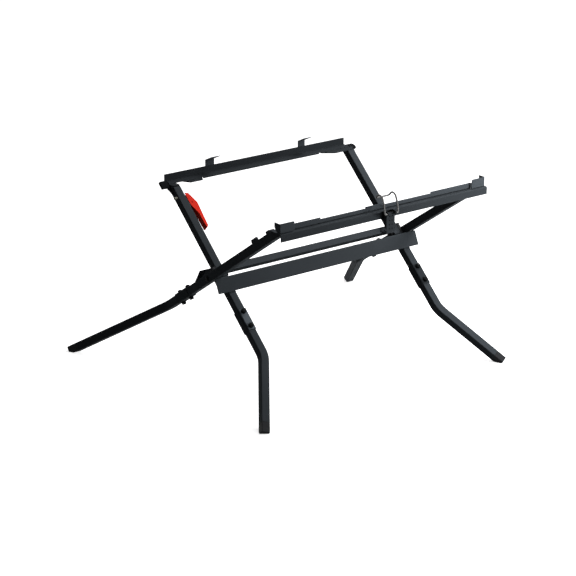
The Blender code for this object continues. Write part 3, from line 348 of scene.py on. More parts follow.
class Shader:
    """A new material's tree, with short calls for the nodes that the finishes share."""

    def __init__(self, name):
        self.material = bpy.data.materials.new(name)
        self.material.use_nodes = True
        self.tree = self.material.node_tree
        self.surface = self.tree.nodes["Principled BSDF"]
        self.place = self.node("ShaderNodeTexCoord").outputs["Object"]

    def node(self, kind, **settings):
        made = self.tree.nodes.new(kind)
        for name, value in settings.items():
            setattr(made, name, value)
        return made

    def link(self, output, target):
        self.tree.links.new(output, target)

    def set(self, **values):
        for name, value in values.items():
            self.surface.inputs[name.replace("_", " ")].default_value = value

    def noise(self, size, detail=2.0):
        """Noise whose blots are about size across."""
        noise = self.node("ShaderNodeTexNoise")
        noise.inputs["Scale"].default_value = 1 / size
        noise.inputs["Detail"].default_value = detail
        self.link(self.place, noise.inputs["Vector"])
        return noise.outputs["Fac"]

    def spread(self, value, low, high, to_low=0.0, to_high=1.0):
        """Value between low and high, moved to the range from to_low to to_high."""
        spread = self.node("ShaderNodeMapRange")
        for name, number in (("From Min", low), ("From Max", high),
                             ("To Min", to_low), ("To Max", to_high)):
            spread.inputs[name].default_value = number
        self.link(value, spread.inputs["Value"])
        return spread.outputs["Result"]

    def math(self, operation, first, second):
        made = self.node("ShaderNodeMath", operation=operation)
        for socket, value in zip(made.inputs, (first, second)):
            if isinstance(value, (int, float)):
                socket.default_value = value
            else:
                self.link(value, socket)
        return made.outputs["Value"]

    def mix(self, share, first, second):
        """A colour between two; each is a colour or a socket."""
        made = self.node("ShaderNodeMix", data_type="RGBA")
        self.link(share, made.inputs["Factor"])
        colours = [socket for socket in made.inputs if socket.type == "RGBA"]
        for socket, colour in zip(colours, (first, second)):
            if isinstance(colour, (tuple, list)):
                socket.default_value = (*colour, 1)
            else:
                self.link(colour, socket)
        return next(socket for socket in made.outputs if socket.type == "RGBA")

    def bump(self, height, distance, normal=None, strength=1.0):
        made = self.node("ShaderNodeBump")
        made.inputs["Strength"].default_value = strength
        made.inputs["Distance"].default_value = distance
        self.link(height, made.inputs["Height"])
        if normal:
            self.link(normal, made.inputs["Normal"])
        return made.outputs["Normal"]

    def edges(self):
        """1 on the narrow faces that finish_edges left along the edges, and 0 on the rest."""
        return self.node("ShaderNodeAttribute", attribute_name=EDGE).outputs["Fac"]


def lighter(colour, factor):
    return tuple(min(1.0, part * factor) for part in colour)


def powder_coat(name="black powder coat", factor=1.0, roughness_shift=0.0):
    """Satin coat: orange-peel grain, uneven gloss and a faint painted highlight along the edges."""
    coat = bpy.context.scene.stand_coat
    shader = Shader(name)
    base = lighter(coat.colour, factor)
    cloud = shader.spread(shader.noise(0.09, 3.0), 0.35, 0.65)
    colour = shader.mix(cloud, lighter(base, 0.97), lighter(base, 1.03))
    # Painted highlight: the narrow edge faces get a lighter, uneven base colour, where a rounded
    # edge would catch light.
    painted_edge_highlight = shader.spread(shader.noise(0.02), 0.3, 0.7, 0.35, 1.0)
    colour = shader.mix(shader.math("MULTIPLY", shader.edges(), painted_edge_highlight), colour, lighter(base, 1.9))
    shader.link(colour, shader.surface.inputs["Base Color"])
    middle = coat.roughness + roughness_shift
    gloss = shader.spread(shader.noise(0.035, 4.0), 0.3, 0.7, middle - 0.05, middle + 0.06)
    shader.link(gloss, shader.surface.inputs["Roughness"])
    peel = shader.bump(shader.noise(coat.grain, 1.5), coat.grain_depth, strength=0.7)
    flow = shader.bump(shader.noise(coat.grain * 5, 2.0), coat.grain_depth * 2, peel, strength=0.5)
    shader.link(flow, shader.surface.inputs["Normal"])
    shader.set(Specular_IOR_Level=0.02)
    return shader.material


def moulded(name, colour, roughness, grain=0.0006, depth=0.00003, edge_highlight=1.5, specular=0.05):
    """Moulded rubber or plastic with a spark-eroded grain and painted highlights on the edges."""
    shader = Shader(name)
    cloud = shader.spread(shader.noise(0.03, 3.0), 0.35, 0.65)
    body = shader.mix(cloud, lighter(colour, 0.93), lighter(colour, 1.08))
    # Painted highlight: the narrow edge faces get a lighter base colour.
    highlighted = shader.mix(shader.edges(), body, lighter(colour, edge_highlight))
    shader.link(highlighted, shader.surface.inputs["Base Color"])
    gloss = shader.spread(shader.noise(0.01, 4.0), 0.3, 0.7, roughness - 0.05, roughness + 0.05)
    shader.link(gloss, shader.surface.inputs["Roughness"])
    grained = shader.bump(shader.noise(grain, 2.0), depth, strength=0.6)
    shader.link(grained, shader.surface.inputs["Normal"])
    shader.set(Specular_IOR_Level=specular)
    return shader.material


def plated_steel(name, colour, roughness, metallic=1.0):
    """Plated steel: a fine grain, cloudy plating and small specks."""
    shader = Shader(name)
    cloud = shader.spread(shader.noise(0.012, 4.0), 0.3, 0.7)
    speck = shader.spread(shader.noise(0.0008, 2.0), 0.62, 0.72)
    body = shader.mix(cloud, lighter(colour, 0.82), lighter(colour, 1.05))
    shader.link(shader.mix(speck, body, lighter(colour, 0.6)), shader.surface.inputs["Base Color"])
    gloss = shader.spread(shader.noise(0.006, 4.0), 0.3, 0.7, roughness - 0.07, roughness + 0.1)
    shader.link(gloss, shader.surface.inputs["Roughness"])
    grained = shader.bump(shader.noise(0.0007), 0.00002, strength=0.5)
    shader.link(grained, shader.surface.inputs["Normal"])
    shader.set(Metallic=metallic)
    return shader.material


# Mesh tools

def settle(obj):
    """The object with its modifiers made into its mesh."""
    graph = bpy.context.evaluated_depsgraph_get()
    made = bpy.data.meshes.new_from_object(obj.evaluated_get(graph), depsgraph=graph)
    obj.modifiers.clear()
    obj.data = made
    return obj


def new_object(name, mesh):
    """An object at the origin from a finished bmesh."""
    bmesh.ops.recalc_face_normals(mesh, faces=mesh.faces)
    data = bpy.data.meshes.new(name)
    mesh.to_mesh(data)
    mesh.free()
    obj = bpy.data.objects.new(name, data)
    bpy.context.scene.collection.objects.link(obj)
    return obj


def mark_edges(data, width):
    """Marks the faces that are no wider than a rounded edge, so that finishes can paint highlights
    on them.
    """
    vertices = data.vertices
    marks = data.attributes.new(EDGE, "FLOAT", "FACE")
    for face, mark in zip(data.polygons, marks.data):
        corners = [vertices[index].co for index in face.vertices]
        longest = max((a - b).length for a, b in zip(corners, corners[1:] + corners[:1]))
        mark.value = float(face.area < longest * width * EDGE_SLACK)


def finish_edges(obj, width, segments=2, sharp=SHEET_SHARP):
    """Rounds the sharp edges, keeps the flats flat and makes the result the mesh."""
    bevel = obj.modifiers.new("soft edges", "BEVEL")
    bevel.width = width
    bevel.segments = segments
    bevel.limit_method = "ANGLE"
    bevel.angle_limit = math.radians(sharp)
    settle(obj)
    mark_edges(obj.data, width)
    obj.data.shade_smooth()
    obj.data.set_sharp_from_angle(angle=math.radians(SMOOTH_ANGLE))
    weighted = obj.modifiers.new("flat faces", "WEIGHTED_NORMAL")
    weighted.keep_sharp = True
    return settle(obj)


def copy_of(node, name):
    """A clean copy of a node's mesh: one skin, with flat areas as single faces."""
    mesh = bmesh.new()
    mesh.from_mesh(NODES[node].data)
    bmesh.ops.remove_doubles(mesh, verts=mesh.verts, dist=MERGE_DISTANCE)
    bmesh.ops.dissolve_limit(
        mesh, angle_limit=math.radians(FLAT_ANGLE), verts=mesh.verts, edges=mesh.edges
    )
    return new_object(name, mesh)


def plate(name, outline, thickness):
    """A flat plate: an outline in space, its copy one thickness away, and the sides."""
    mesh = bmesh.new()
    near = [mesh.verts.new(place) for place in outline]
    far = [mesh.verts.new(place + thickness) for place in outline]
    # Both faces start at the outline's first corner, and the far one runs the other way round.
    mesh.faces.new(near)
    mesh.faces.new([far[0]] + far[:0:-1])
    for index in range(len(near)):
        after = (index + 1) % len(near)
        mesh.faces.new((near[index], far[index], far[after], near[after]))
    return new_object(name, mesh)


def hand_over(obj, finish, slot, *nodes, body=None):
    """Gives a piece its finish and its body, and lets it stand for its nodes."""
    obj.data.materials.clear()
    obj.data.materials.append(finish)
    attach(obj, body or BODY_OF[nodes[0]])
    if nodes:
        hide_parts(*nodes)
    return obj


def refined(node, finish, slot, width, segments=2, sharp=SHEET_SHARP):
    """The node's own shape with softened edges and the real finish."""
    piece = finish_edges(copy_of(node, f"{node}_finished"), width, segments, sharp)
    return hand_over(piece, finish, slot, node)


def arc_corner(before, corner, after, radius, steps):
    """The arc that rounds a corner between the points before and after it."""
    back = (before - corner).normalized()
    ahead = (after - corner).normalized()
    half = back.angle(ahead) / 2
    centre = corner + (back + ahead).normalized() * radius / math.sin(half)
    reach = radius / math.tan(half)
    start = (corner + back * reach - centre).normalized()
    end = (corner + ahead * reach - centre).normalized()
    return [centre + start.slerp(end, step / steps) * radius for step in range(steps + 1)]


def rounded_line(points, radius, steps):
    """The open line through points with its inner corners rounded."""
    line = [points[0]]
    for corner in zip(points, points[1:], points[2:]):
        line += arc_corner(*corner, radius, steps)
    return line + [points[-1]]


def rounded_rectangle(width, height, radius):
    """Closed outline round the middle, counterclockwise."""
    a, b = width / 2, height / 2
    corners = [Vector(place) for place in ((-a, -b), (a, -b), (a, b), (-a, b))]
    outline = []
    for index, corner in enumerate(corners):
        after = corners[(index + 1) % 4]
        outline += arc_corner(corners[index - 1], corner, after, radius, TUBE_CORNER_STEPS)
    return outline


def swept_tube(line, space):
    """Open rectangular tube along a line in a leg frame's plane."""
    outside = rounded_rectangle(TUBE_WIDTH, TUBE_HEIGHT, TUBE_CORNER)
    inside = rounded_rectangle(
        TUBE_WIDTH - 2 * TUBE_WALL, TUBE_HEIGHT - 2 * TUBE_WALL, TUBE_CORNER - TUBE_WALL
    )
    runs = [(end - start).normalized() for start, end in zip(line, line[1:])]
    ways = [runs[0]] + [(a + b).normalized() for a, b in zip(runs, runs[1:])] + [runs[-1]]
    places = list(zip(line, ways))
    mesh = bmesh.new()
    rings = []
    for outline, order in ((outside, places), (inside, places[::-1])):
        for centre, way in order:
            across = Vector((way.y, -way.x, 0))
            rings.append([mesh.verts.new(space @ (centre + across * a + Vector((0, 0, b))))
                          for a, b in outline])
    for ring, following in zip(rings, rings[1:] + rings[:1]):
        count = len(ring)
        for index in range(count):
            after = (index + 1) % count
            mesh.faces.new((ring[index], ring[after], following[after], following[index]))
    return mesh


# Geometry node trees

class Tree:
    """A geometry node tree with named inputs."""

    def __init__(self, name):
        self.tree = bpy.data.node_groups.new(name, "GeometryNodeTree")
        self.ids = {}
        self.input("Geometry", "NodeSocketGeometry")
        self.tree.interface.new_socket(
            name="Geometry", in_out="OUTPUT", socket_type="NodeSocketGeometry"
        )
        self.start = self.tree.nodes.new("NodeGroupInput")
        self.end = self.tree.nodes.new("NodeGroupOutput")

    def input(self, name, kind="NodeSocketFloat", default=None):
        socket = self.tree.interface.new_socket(name=name, in_out="INPUT", socket_type=kind)
        if default is not None:
            socket.default_value = default
        self.ids[name] = socket.identifier

    def node(self, kind, values=None, **settings):
        """A node; values are sockets to link or numbers, by the input's name or number."""
        made = self.tree.nodes.new(kind)
        for name, value in settings.items():
            setattr(made, name, value)
        for name, value in (values or {}).items():
            if isinstance(value, bpy.types.NodeSocket):
                self.tree.links.new(value, made.inputs[name])
            elif value is not None:
                made.inputs[name].default_value = value
        return made

    def math(self, operation, first, second):
        values = {0: first, 1: second}
        return self.node("ShaderNodeMath", values, operation=operation).outputs[0]

    def named(self, name):
        return self.start.outputs[name]

    def finish(self, geometry, material):
        """Real geometry with its material goes to the output."""
        real = self.node("GeometryNodeRealizeInstances", {"Geometry": geometry})
        dressed = self.node("GeometryNodeSetMaterial", {
            "Geometry": real.outputs[0], "Material": material,
        })
        self.tree.links.new(dressed.outputs[0], self.end.inputs[0])

    def run(self, obj, **values):
        """Runs on the object's mesh with inputs by name, and makes the result its mesh."""
        modifier = obj.modifiers.new(self.tree.name, "NODES")
        modifier.node_group = self.tree
        for name, value in values.items():
            modifier[self.ids[name.replace("_", " ")]] = value
        obj.update_tag()
        return settle(obj)


def points_object(name, places, directions=()):
    """Loose points, which can carry a direction each."""
    mesh = bpy.data.meshes.new(name)
    mesh.from_pydata([tuple(place) for place in places], [], [])
    attribute = mesh.attributes.new("direction", "FLOAT_VECTOR", "POINT")
    for item, direction in zip(attribute.data, directions):
        item.vector = direction
    obj = bpy.data.objects.new(name, mesh)
    bpy.context.scene.collection.objects.link(obj)
    return obj


def moved(tree, geometry, z):
    """Geometry moved along z, which may be a socket."""
    shift = tree.node("ShaderNodeCombineXYZ", {"Z": z})
    made = tree.node("GeometryNodeTransform", {
        "Geometry": geometry, "Translation": shift.outputs[0],
    })
    return made.outputs[0]


def hexagon_tree(material):
    """Hexagon heads with a chamfered crown on a round washer, one on every point."""
    tree = Tree("hexagon heads")
    for name, default in (("Flats", 0.013), ("Height", 0.006), ("Washer Radius", 0.0075),
                          ("Washer Height", 0.0014), ("End Radius", 0.004), ("End Length", 0.0)):
        tree.input(name, default=default)
    corner = tree.math("DIVIDE", tree.named("Flats"), math.sqrt(3))
    chamfer = tree.math("MULTIPLY", tree.named("Flats"), 0.055)
    body_height = tree.math("SUBTRACT", tree.named("Height"), chamfer)
    crown_radius = tree.math("SUBTRACT", corner, tree.math("MULTIPLY", chamfer, 1.7))
    washer = tree.node("GeometryNodeMeshCylinder", {
        "Vertices": 32, "Radius": tree.named("Washer Radius"), "Depth": tree.named("Washer Height"),
    })
    body = tree.node("GeometryNodeMeshCylinder", {
        "Vertices": 6, "Radius": corner, "Depth": body_height,
    })
    crown = tree.node("GeometryNodeMeshCone", {
        "Vertices": 6, "Radius Top": crown_radius, "Radius Bottom": corner, "Depth": chamfer,
    })
    dome = tree.node("GeometryNodeMeshCone", {
        "Vertices": 24, "Radius Top": tree.math("MULTIPLY", tree.named("Flats"), 0.36),
        "Radius Bottom": tree.math("MULTIPLY", tree.named("Flats"), 0.43),
        "Depth": tree.math("MULTIPLY", chamfer, 0.5),
    })
    thread = tree.node("GeometryNodeMeshCylinder", {
        "Vertices": 24, "Radius": tree.named("End Radius"), "Depth": tree.named("End Length"),
    })
    half_washer = tree.math("MULTIPLY", tree.named("Washer Height"), 0.5)
    body_z = tree.math("ADD", tree.named("Washer Height"), tree.math("MULTIPLY", body_height, 0.5))
    crown_z = tree.math("ADD", tree.named("Washer Height"), body_height)
    top = tree.math("ADD", tree.named("Washer Height"), tree.named("Height"))
    end_z = tree.math("ADD", top, tree.math("MULTIPLY", tree.named("End Length"), 0.5))
    joined = tree.node("GeometryNodeJoinGeometry")
    for geometry, z in ((washer, half_washer), (body, body_z), (crown, crown_z),
                        (dome, top), (thread, end_z)):
        tree.tree.links.new(moved(tree, geometry.outputs["Mesh"], z), joined.inputs[0])
    direction = tree.node(
        "GeometryNodeInputNamedAttribute", {"Name": "direction"}, data_type="FLOAT_VECTOR"
    )
    turned = tree.node("FunctionNodeAlignRotationToVector", {
        "Vector": direction.outputs["Attribute"]}, axis="Z")
    placed = tree.node("GeometryNodeInstanceOnPoints", {
        "Points": tree.named("Geometry"), "Instance": joined.outputs[0],
        "Rotation": turned.outputs[0],
    })
    tree.finish(placed.outputs[0], material)
    return tree


def dimple_tree(material):
    """Flattened balls, one on every point, that press dimples along y."""
    tree = Tree("dimples")
    tree.input("Radius", default=0.002)
    tree.input("Depth", default=0.0006)
    ball = tree.node("GeometryNodeMeshUVSphere", {
        "Segments": 16, "Rings": 8, "Radius": tree.named("Radius")})
    flat = tree.math("DIVIDE", tree.named("Depth"), tree.named("Radius"))
    scale = tree.node("ShaderNodeCombineXYZ", {"X": 1.0, "Y": flat, "Z": 1.0})
    placed = tree.node("GeometryNodeInstanceOnPoints", {
        "Points": tree.named("Geometry"), "Instance": ball.outputs["Mesh"],
        "Scale": scale.outputs[0],
    })
    tree.finish(placed.outputs[0], material)
    return tree


def bead_tree(material):
    """Weld beads: flattened ripples that follow every edge of the input."""
    tree = Tree("weld beads")
    tree.input("Radius", default=0.002)
    tree.input("Pitch", default=0.0013)
    tree.input("Seed", "NodeSocketInt", 0)
    curve = tree.node("GeometryNodeMeshToCurve", {"Mesh": tree.named("Geometry")})
    spaced = tree.node("GeometryNodeResampleCurve", {
        "Curve": curve.outputs[0], "Length": tree.named("Pitch")}, mode="LENGTH")
    ripple = tree.node("GeometryNodeMeshUVSphere", {
        "Segments": 8, "Rings": 5, "Radius": tree.named("Radius")})
    tangent = tree.node("GeometryNodeInputTangent")
    turned = tree.node("FunctionNodeAlignRotationToVector", {
        "Vector": tangent.outputs[0]}, axis="Z")
    uneven = tree.node("FunctionNodeRandomValue", {
        "Min": (0.85, 0.85, 0.55), "Max": (1.1, 1.1, 0.75), "Seed": tree.named("Seed"),
    }, data_type="FLOAT_VECTOR")
    placed = tree.node("GeometryNodeInstanceOnPoints", {
        "Points": spaced.outputs[0], "Instance": ripple.outputs["Mesh"],
        "Rotation": turned.outputs[0], "Scale": uneven.outputs[0],
    })
    tree.finish(placed.outputs[0], material)
    return tree


# Finishes shared by several operators

MATERIALS = {}


def material(name):
    """Each finish is made once, when the first piece asks for it."""
    makers = {
        "coat": powder_coat,
        "coat on sheet": lambda: powder_coat("black powder coat on sheet", 1.12, -0.02),
        "coat on welds": lambda: powder_coat("black powder coat on welds", 0.9, -0.06),
        "coat on beam": lambda: powder_coat("black powder coat on beams", 0.95),
        # Painted shade: a darker copy of the coat for the rear rail and corner plates, which get
        # less light.
        "coat in painted shade on rear sheet": lambda: powder_coat("black powder coat on rear sheet", 0.6, -0.02),
        "coat on sleeve": lambda: powder_coat("black powder coat on sleeves", 0.68),
        # Painted light: a lighter copy of the coat for a sleeve's upper face.
        "coat with painted light on sleeve": lambda: powder_coat("pale powder coat on sleeve", 2.5),
        # Painted shadow: a much darker copy of the coat for the rest arms, which lie in the shadow
        # of the rail and corner plates.
        "coat in painted shadow on arm": lambda: powder_coat("black powder coat on rest arms", 0.16),
        "coat on saddle": lambda: powder_coat("black powder coat on saddle", 1.8),
        "coat on latch": lambda: powder_coat("black powder coat on latch", 1.0, 0.05),
        "black bolt": lambda: moulded(
            "black oxide bolts", (0.0055, 0.006, 0.0065), 0.6, edge_highlight=2.0, specular=0.02),
        "rubber": lambda: moulded("black moulded rubber", (0.017, 0.018, 0.02), 0.62, edge_highlight=1.3),
        "plastic": lambda: moulded("black moulded plastic", (0.015, 0.016, 0.018), 0.5),
        "red": lambda: moulded(
            "red moulded plastic", (0.64, 0.022, 0.0085), 0.5,
            grain=0.0008, depth=0.00002, edge_highlight=1.05, specular=0.03),
        "dark steel": lambda: plated_steel("black oxide steel", (0.030, 0.031, 0.034), 0.42, 0.35),
        "bright steel": lambda: plated_steel("dull zinc steel", (0.085, 0.085, 0.07), 0.55, 0.8),
        "wire": lambda: plated_steel("drawn wire", (0.085, 0.085, 0.084), 0.5),
    }
    if name not in MATERIALS:
        MATERIALS[name] = makers[name]()
    return MATERIALS[name]


# Operators

class STAND_OT_tubes(bpy.types.Operator):
    """Coats the upper legs and sleeves, and draws the bent lower legs"""

    bl_idname = "stand.tubes"
    bl_label = "Leg tubes"

    def execute(self, context):
        for leg_frame in FRAMES:
            for label, side in SIDES.items():
                self.lower_leg(leg_frame, label, side)
                refined(f"{leg_frame.name}_leg_{label}", material("coat"), "powder_coat", TUBE_EDGE)
                sleeve = f"{leg_frame.name}_sleeve_{label}"
                refined(sleeve, material("coat on sleeve"), "powder_coat", SLEEVE_EDGE)
        self.paint_lit_face("inner_sleeve_left_finished", INNER.out())
        return {"FINISHED"}

    def paint_lit_face(self, name, way):
        """Paints the upper face of this sleeve with a lighter coat: painted light, as that face
        catches more light than its sides.
        """
        piece = bpy.data.objects[name]
        piece.data.materials.append(material("coat with painted light on sleeve"))
        for face in piece.data.polygons:
            if face.normal.dot(way) > FACING:
                face.material_index = 1

    def lower_leg(self, leg_frame, label, side):
        """The tube from the joint in its sleeve, round the bend and down to its foot cap."""
        x = side * leg_frame.leg_x
        run = (PIVOT.z / math.sin(leg_frame.slope) - leg_frame.bend) / math.cos(SPLAY)
        joint = Vector((x, leg_frame.rise * -(LEG_JOINT + LEG_JOINT_GAP / 2), 0))
        bend = Vector((x, leg_frame.rise * -leg_frame.bend, 0))
        down = leg_frame.bend + math.cos(SPLAY) * run
        foot = Vector((x + side * math.sin(SPLAY) * run, leg_frame.rise * -down, 0))
        end = foot + (bend - foot).normalized() * FOOT_LENGTH
        line = rounded_line([joint, bend, end], BEND_RADIUS, BEND_STEPS)
        name = f"{leg_frame.name}_lower_leg_{label}"
        piece = new_object(f"{name}_drawn", swept_tube(line, leg_frame.space))
        finish_edges(piece, TUBE_EDGE)
        hand_over(piece, material("coat"), "powder_coat", name)


class STAND_OT_sheet(bpy.types.Operator):
    """Coats the rails, beams, stops, hooks and corner plates"""

    bl_idname = "stand.sheet"
    bl_label = "Bent sheet"

    def execute(self, context):
        edge = context.scene.stand_coat.edge
        for finish, names in {
            "coat on saddle": ("front_saddle", "corner_stop_left", "corner_stop_right"),
            "coat on sheet": ("front_rail", "lock_keeper", "rear_hook_left", "rear_hook_right"),
            "coat on beam": ("front_beam", "rear_beam"),
            "coat in painted shade on rear sheet": ("rear_rail", "rear_gusset_left"),
        }.items():
            for name in names:
                refined(name, material(finish), "powder_coat", edge)
        self.right_gusset(edge)
        self.arm("left", ARM_LEFT)
        self.arm("right", ARM_RIGHT)
        return {"FINISHED"}

    def right_gusset(self, edge):
        """Unlike the left one, this corner plate has no notch and reaches past the leg."""
        outline = [Vector((x, y, PIVOT.z + GUSSET_TOP)) for x, y in GUSSET_RIGHT]
        piece = plate("rear_gusset_right_drawn", outline, Vector((0, 0, -GUSSET_THICKNESS)))
        finish_edges(piece, edge)
        hand_over(piece, material("coat in painted shade on rear sheet"), "powder_coat", "rear_gusset_right")

    def arm(self, label, outline):
        """A rest arm that runs down the leg's outer side in a curve."""
        side = SIDES[label]
        places = [INNER.point(side * x, up, ARM_LOWER_SIDE) for x, up in outline]
        name = f"rest_arm_{label}"
        piece = plate(f"{name}_drawn", places, INNER.out() * (ARM_UPPER_SIDE - ARM_LOWER_SIDE))
        finish_edges(piece, ARM_EDGE, 3)
        # The arm's coat is darkened as painted shadow of the rail and corner plate above it.
        hand_over(piece, material("coat in painted shadow on arm"), "powder_coat", name)


class STAND_OT_rubber(bpy.types.Operator):
    """Moulds the foot caps, bumpers and pivot spacers"""

    bl_idname = "stand.rubber"
    bl_label = "Rubber and plastic"

    def execute(self, context):
        for label in SIDES:
            for leg_frame in FRAMES:
                refined(f"{leg_frame.name}_foot_{label}", material("rubber"), "rubber", FOOT_EDGE, 3)
            refined(f"rest_bumper_{label}", material("rubber"), "rubber", BUMPER_EDGE, 4)
            refined(f"pivot_spacer_{label}", material("plastic"), "black_plastic", SPACER_EDGE)
        return {"FINISHED"}


class STAND_OT_fasteners(bpy.types.Operator):
    """Sets the hexagon bolts through the sleeves and the pivot bolts"""

    bl_idname = "stand.fasteners"
    bl_label = "Bolts and nuts"

    def execute(self, context):
        size = context.scene.stand_fasteners
        tree = hexagon_tree(material("black bolt"))
        for leg_frame in FRAMES:
            places = [(leg_frame.point(side * leg_frame.leg_x, -down, 0), f"{label}_{level}")
                      for label, side in SIDES.items() for level, down in SLEEVE_BOLTS.items()]
            heads_way = leg_frame.out() * leg_frame.head_side
            nodes = [f"{leg_frame.name}_sleeve_bolt_{key}" for _, key in places]
            seats = {way: [place + heads_way * way * SLEEVE_SEAT for place, _ in places]
                     for way in (1, -1)}
            heads = points_object(
                f"{leg_frame.name}_bolt_heads", seats[1], [heads_way] * len(places)
            )
            tree.run(heads, Flats=size.flats, Height=size.head, Washer_Radius=size.washer,
                     Washer_Height=size.washer_height,
                     End_Radius=size.shank * HEAD_END_SHARE, End_Length=HEAD_END)
            self.soften(heads)
            hand_over(heads, material("black bolt"), "black_steel", *nodes)
            nuts = points_object(
                f"{leg_frame.name}_bolt_nuts", seats[-1], [-heads_way] * len(places)
            )
            tree.run(nuts, Flats=size.flats, Height=size.nut - NUT_TRIM,
                     Washer_Radius=size.flats * NUT_COLLAR_SHARE, Washer_Height=NUT_COLLAR,
                     End_Radius=size.shank, End_Length=THREAD_END)
            self.soften(nuts)
            hand_over(nuts, material("black bolt"), "black_steel", body=BODY_OF[nodes[0]])
        for label in SIDES:
            refined(f"pivot_bolt_{label}", material("black bolt"), "black_steel",
                    PIN_EDGE, 2, PIN_SHARP)
        return {"FINISHED"}

    def soften(self, obj):
        """Shades the round parts smooth and keeps the hexagons' edges."""
        obj.data.shade_smooth()
        obj.data.set_sharp_from_angle(angle=math.radians(HEXAGON_ANGLE))


class STAND_OT_latch(bpy.types.Operator):
    """Presses the toggle latch's lever, bracket and pin, and bends its wire bail"""

    bl_idname = "stand.latch"
    bl_label = "Toggle latch"

    def execute(self, context):
        self.lever()
        refined("latch_bracket", material("black bolt"), "black_steel", LATCH_BRACKET_EDGE)
        refined("latch_pin", material("black bolt"), "bright_steel", LATCH_PIN_EDGE, 3, PIN_SHARP)
        bail = copy_of("wire_bail", "wire_bail_finished")
        plated = bail.modifiers.new("plating", "DISPLACE")
        plated.strength = WIRE_PLATING
        plated.mid_level = 0
        finish_edges(bail, WIRE_EDGE, 1, WIRE_SHARP)
        hand_over(bail, material("wire"), "bright_steel", "wire_bail")
        return {"FINISHED"}

    def lever(self):
        """The lever with its dimples cut in; their faces keep the cutter's darker material, painted
        shade in the hollows.
        """
        piece = copy_of("latch_lever", "latch_lever_finished")
        finish_edges(piece, LATCH_LEVER_EDGE)
        places = [(x, LATCH_FRONT_Y, PIVOT.z + DIMPLE_TOP - DIMPLE_STEP * row)
                  for row in range(DIMPLE_ROWS) for x in DIMPLE_X]
        balls = points_object("latch_dimples", places)
        # Painted shade: the dimple faces take the darker bolt material from the cutter.
        dimple_tree(material("black bolt")).run(balls, Radius=DIMPLE_RADIUS, Depth=DIMPLE_DEPTH)
        cut = piece.modifiers.new("dimples", "BOOLEAN")
        cut.object = balls
        cut.material_mode = "TRANSFER"
        piece.data.materials.clear()
        piece.data.materials.append(material("coat on latch"))
        settle(piece)
        bpy.data.objects.remove(balls)
        piece.data.shade_smooth()
        piece.data.set_sharp_from_angle(angle=math.radians(DIMPLE_ANGLE))
        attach(piece, BODY_OF["latch_lever"])
        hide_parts("latch_lever")


class STAND_OT_release(bpy.types.Operator):
    """Moulds the release lever, and turns its pins, bracket and spring"""

    bl_idname = "stand.release"
    bl_label = "Release lever"

    def execute(self, context):
        refined("release_lever", material("red"), "red_plastic", RELEASE_LEVER_EDGE, 4, PIN_SHARP)
        refined("release_bracket", material("dark steel"), "black_steel", RELEASE_BRACKET_EDGE)
        refined("release_pin", material("red"), "bright_steel", PIN_EDGE, 2, PIN_SHARP)
        refined("lock_pin", material("bright steel"), "bright_steel", PIN_EDGE, 2, PIN_SHARP)
        spring = refined("lock_spring", material("bright steel"), "bright_steel",
                         SPRING_EDGE, 1, WIRE_SHARP)
        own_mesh(spring)
        return {"FINISHED"}


class STAND_OT_welds(bpy.types.Operator):
    """Runs the weld beads where tube meets sheet"""

    bl_idname = "stand.welds"
    bl_label = "Weld beads"

    def execute(self, context):
        self.beads("inner", self.beam_lines(INNER) + self.arm_lines() + self.hook_lines())
        self.beads("outer", self.beam_lines(OUTER) + self.rail_lines())
        return {"FINISHED"}

    def beam_lines(self, leg_frame):
        """Where each beam's two edges cross the upper face of a leg."""
        return [[leg_frame.point(side * leg_frame.leg_x + x, up, TUBE_HALF)
                 for x in (-TUBE_HALF + WELD_INSET, TUBE_HALF - WELD_INSET)]
                for side in SIDES.values() for up in BEAM_WELDS]

    def arm_lines(self):
        """Along the root of each rest arm, on the leg's outer side."""
        x = INNER.leg_x + TUBE_HALF
        return [[INNER.point(side * x, up, ARM_UPPER_SIDE) for up in ARM_WELD]
                for side in SIDES.values()]

    def hook_lines(self):
        """Down the inner edge of each hook, on the rail's back."""
        return [[Vector((side * HOOK_WELD_X, HOOK_WELD_Y, PIVOT.z + up)) for up in HOOK_WELD]
                for side in SIDES.values()]

    def rail_lines(self):
        """Under the corner stops and in short runs behind the saddle."""
        z = PIVOT.z + RAIL_TOP
        stops = [[Vector((side * x, STOP_WELD_Y, z)) for x in STOP_WELD]
                 for side in SIDES.values()]
        saddle = [[Vector((x + step, SADDLE_WELD_Y, z)) for step in (0, SADDLE_WELD_LENGTH)]
                  for x in SADDLE_WELD_STARTS]
        return stops + saddle

    def beads(self, body_name, lines):
        """One piece with a bead along every line of a frame."""
        size = bpy.context.scene.stand_welds
        mesh = bmesh.new()
        for line in lines:
            mesh.edges.new([mesh.verts.new(place) for place in line])
        beads = new_object(f"{body_name}_weld_beads", mesh)
        bead_tree(material("coat on welds")).run(
            beads, Radius=size.radius, Pitch=size.pitch, Seed=size.seed
        )
        beads.data.shade_smooth()
        hand_over(beads, material("coat on welds"), "powder_coat",
                  body=BODY_OF[f"{body_name}_leg_left"])


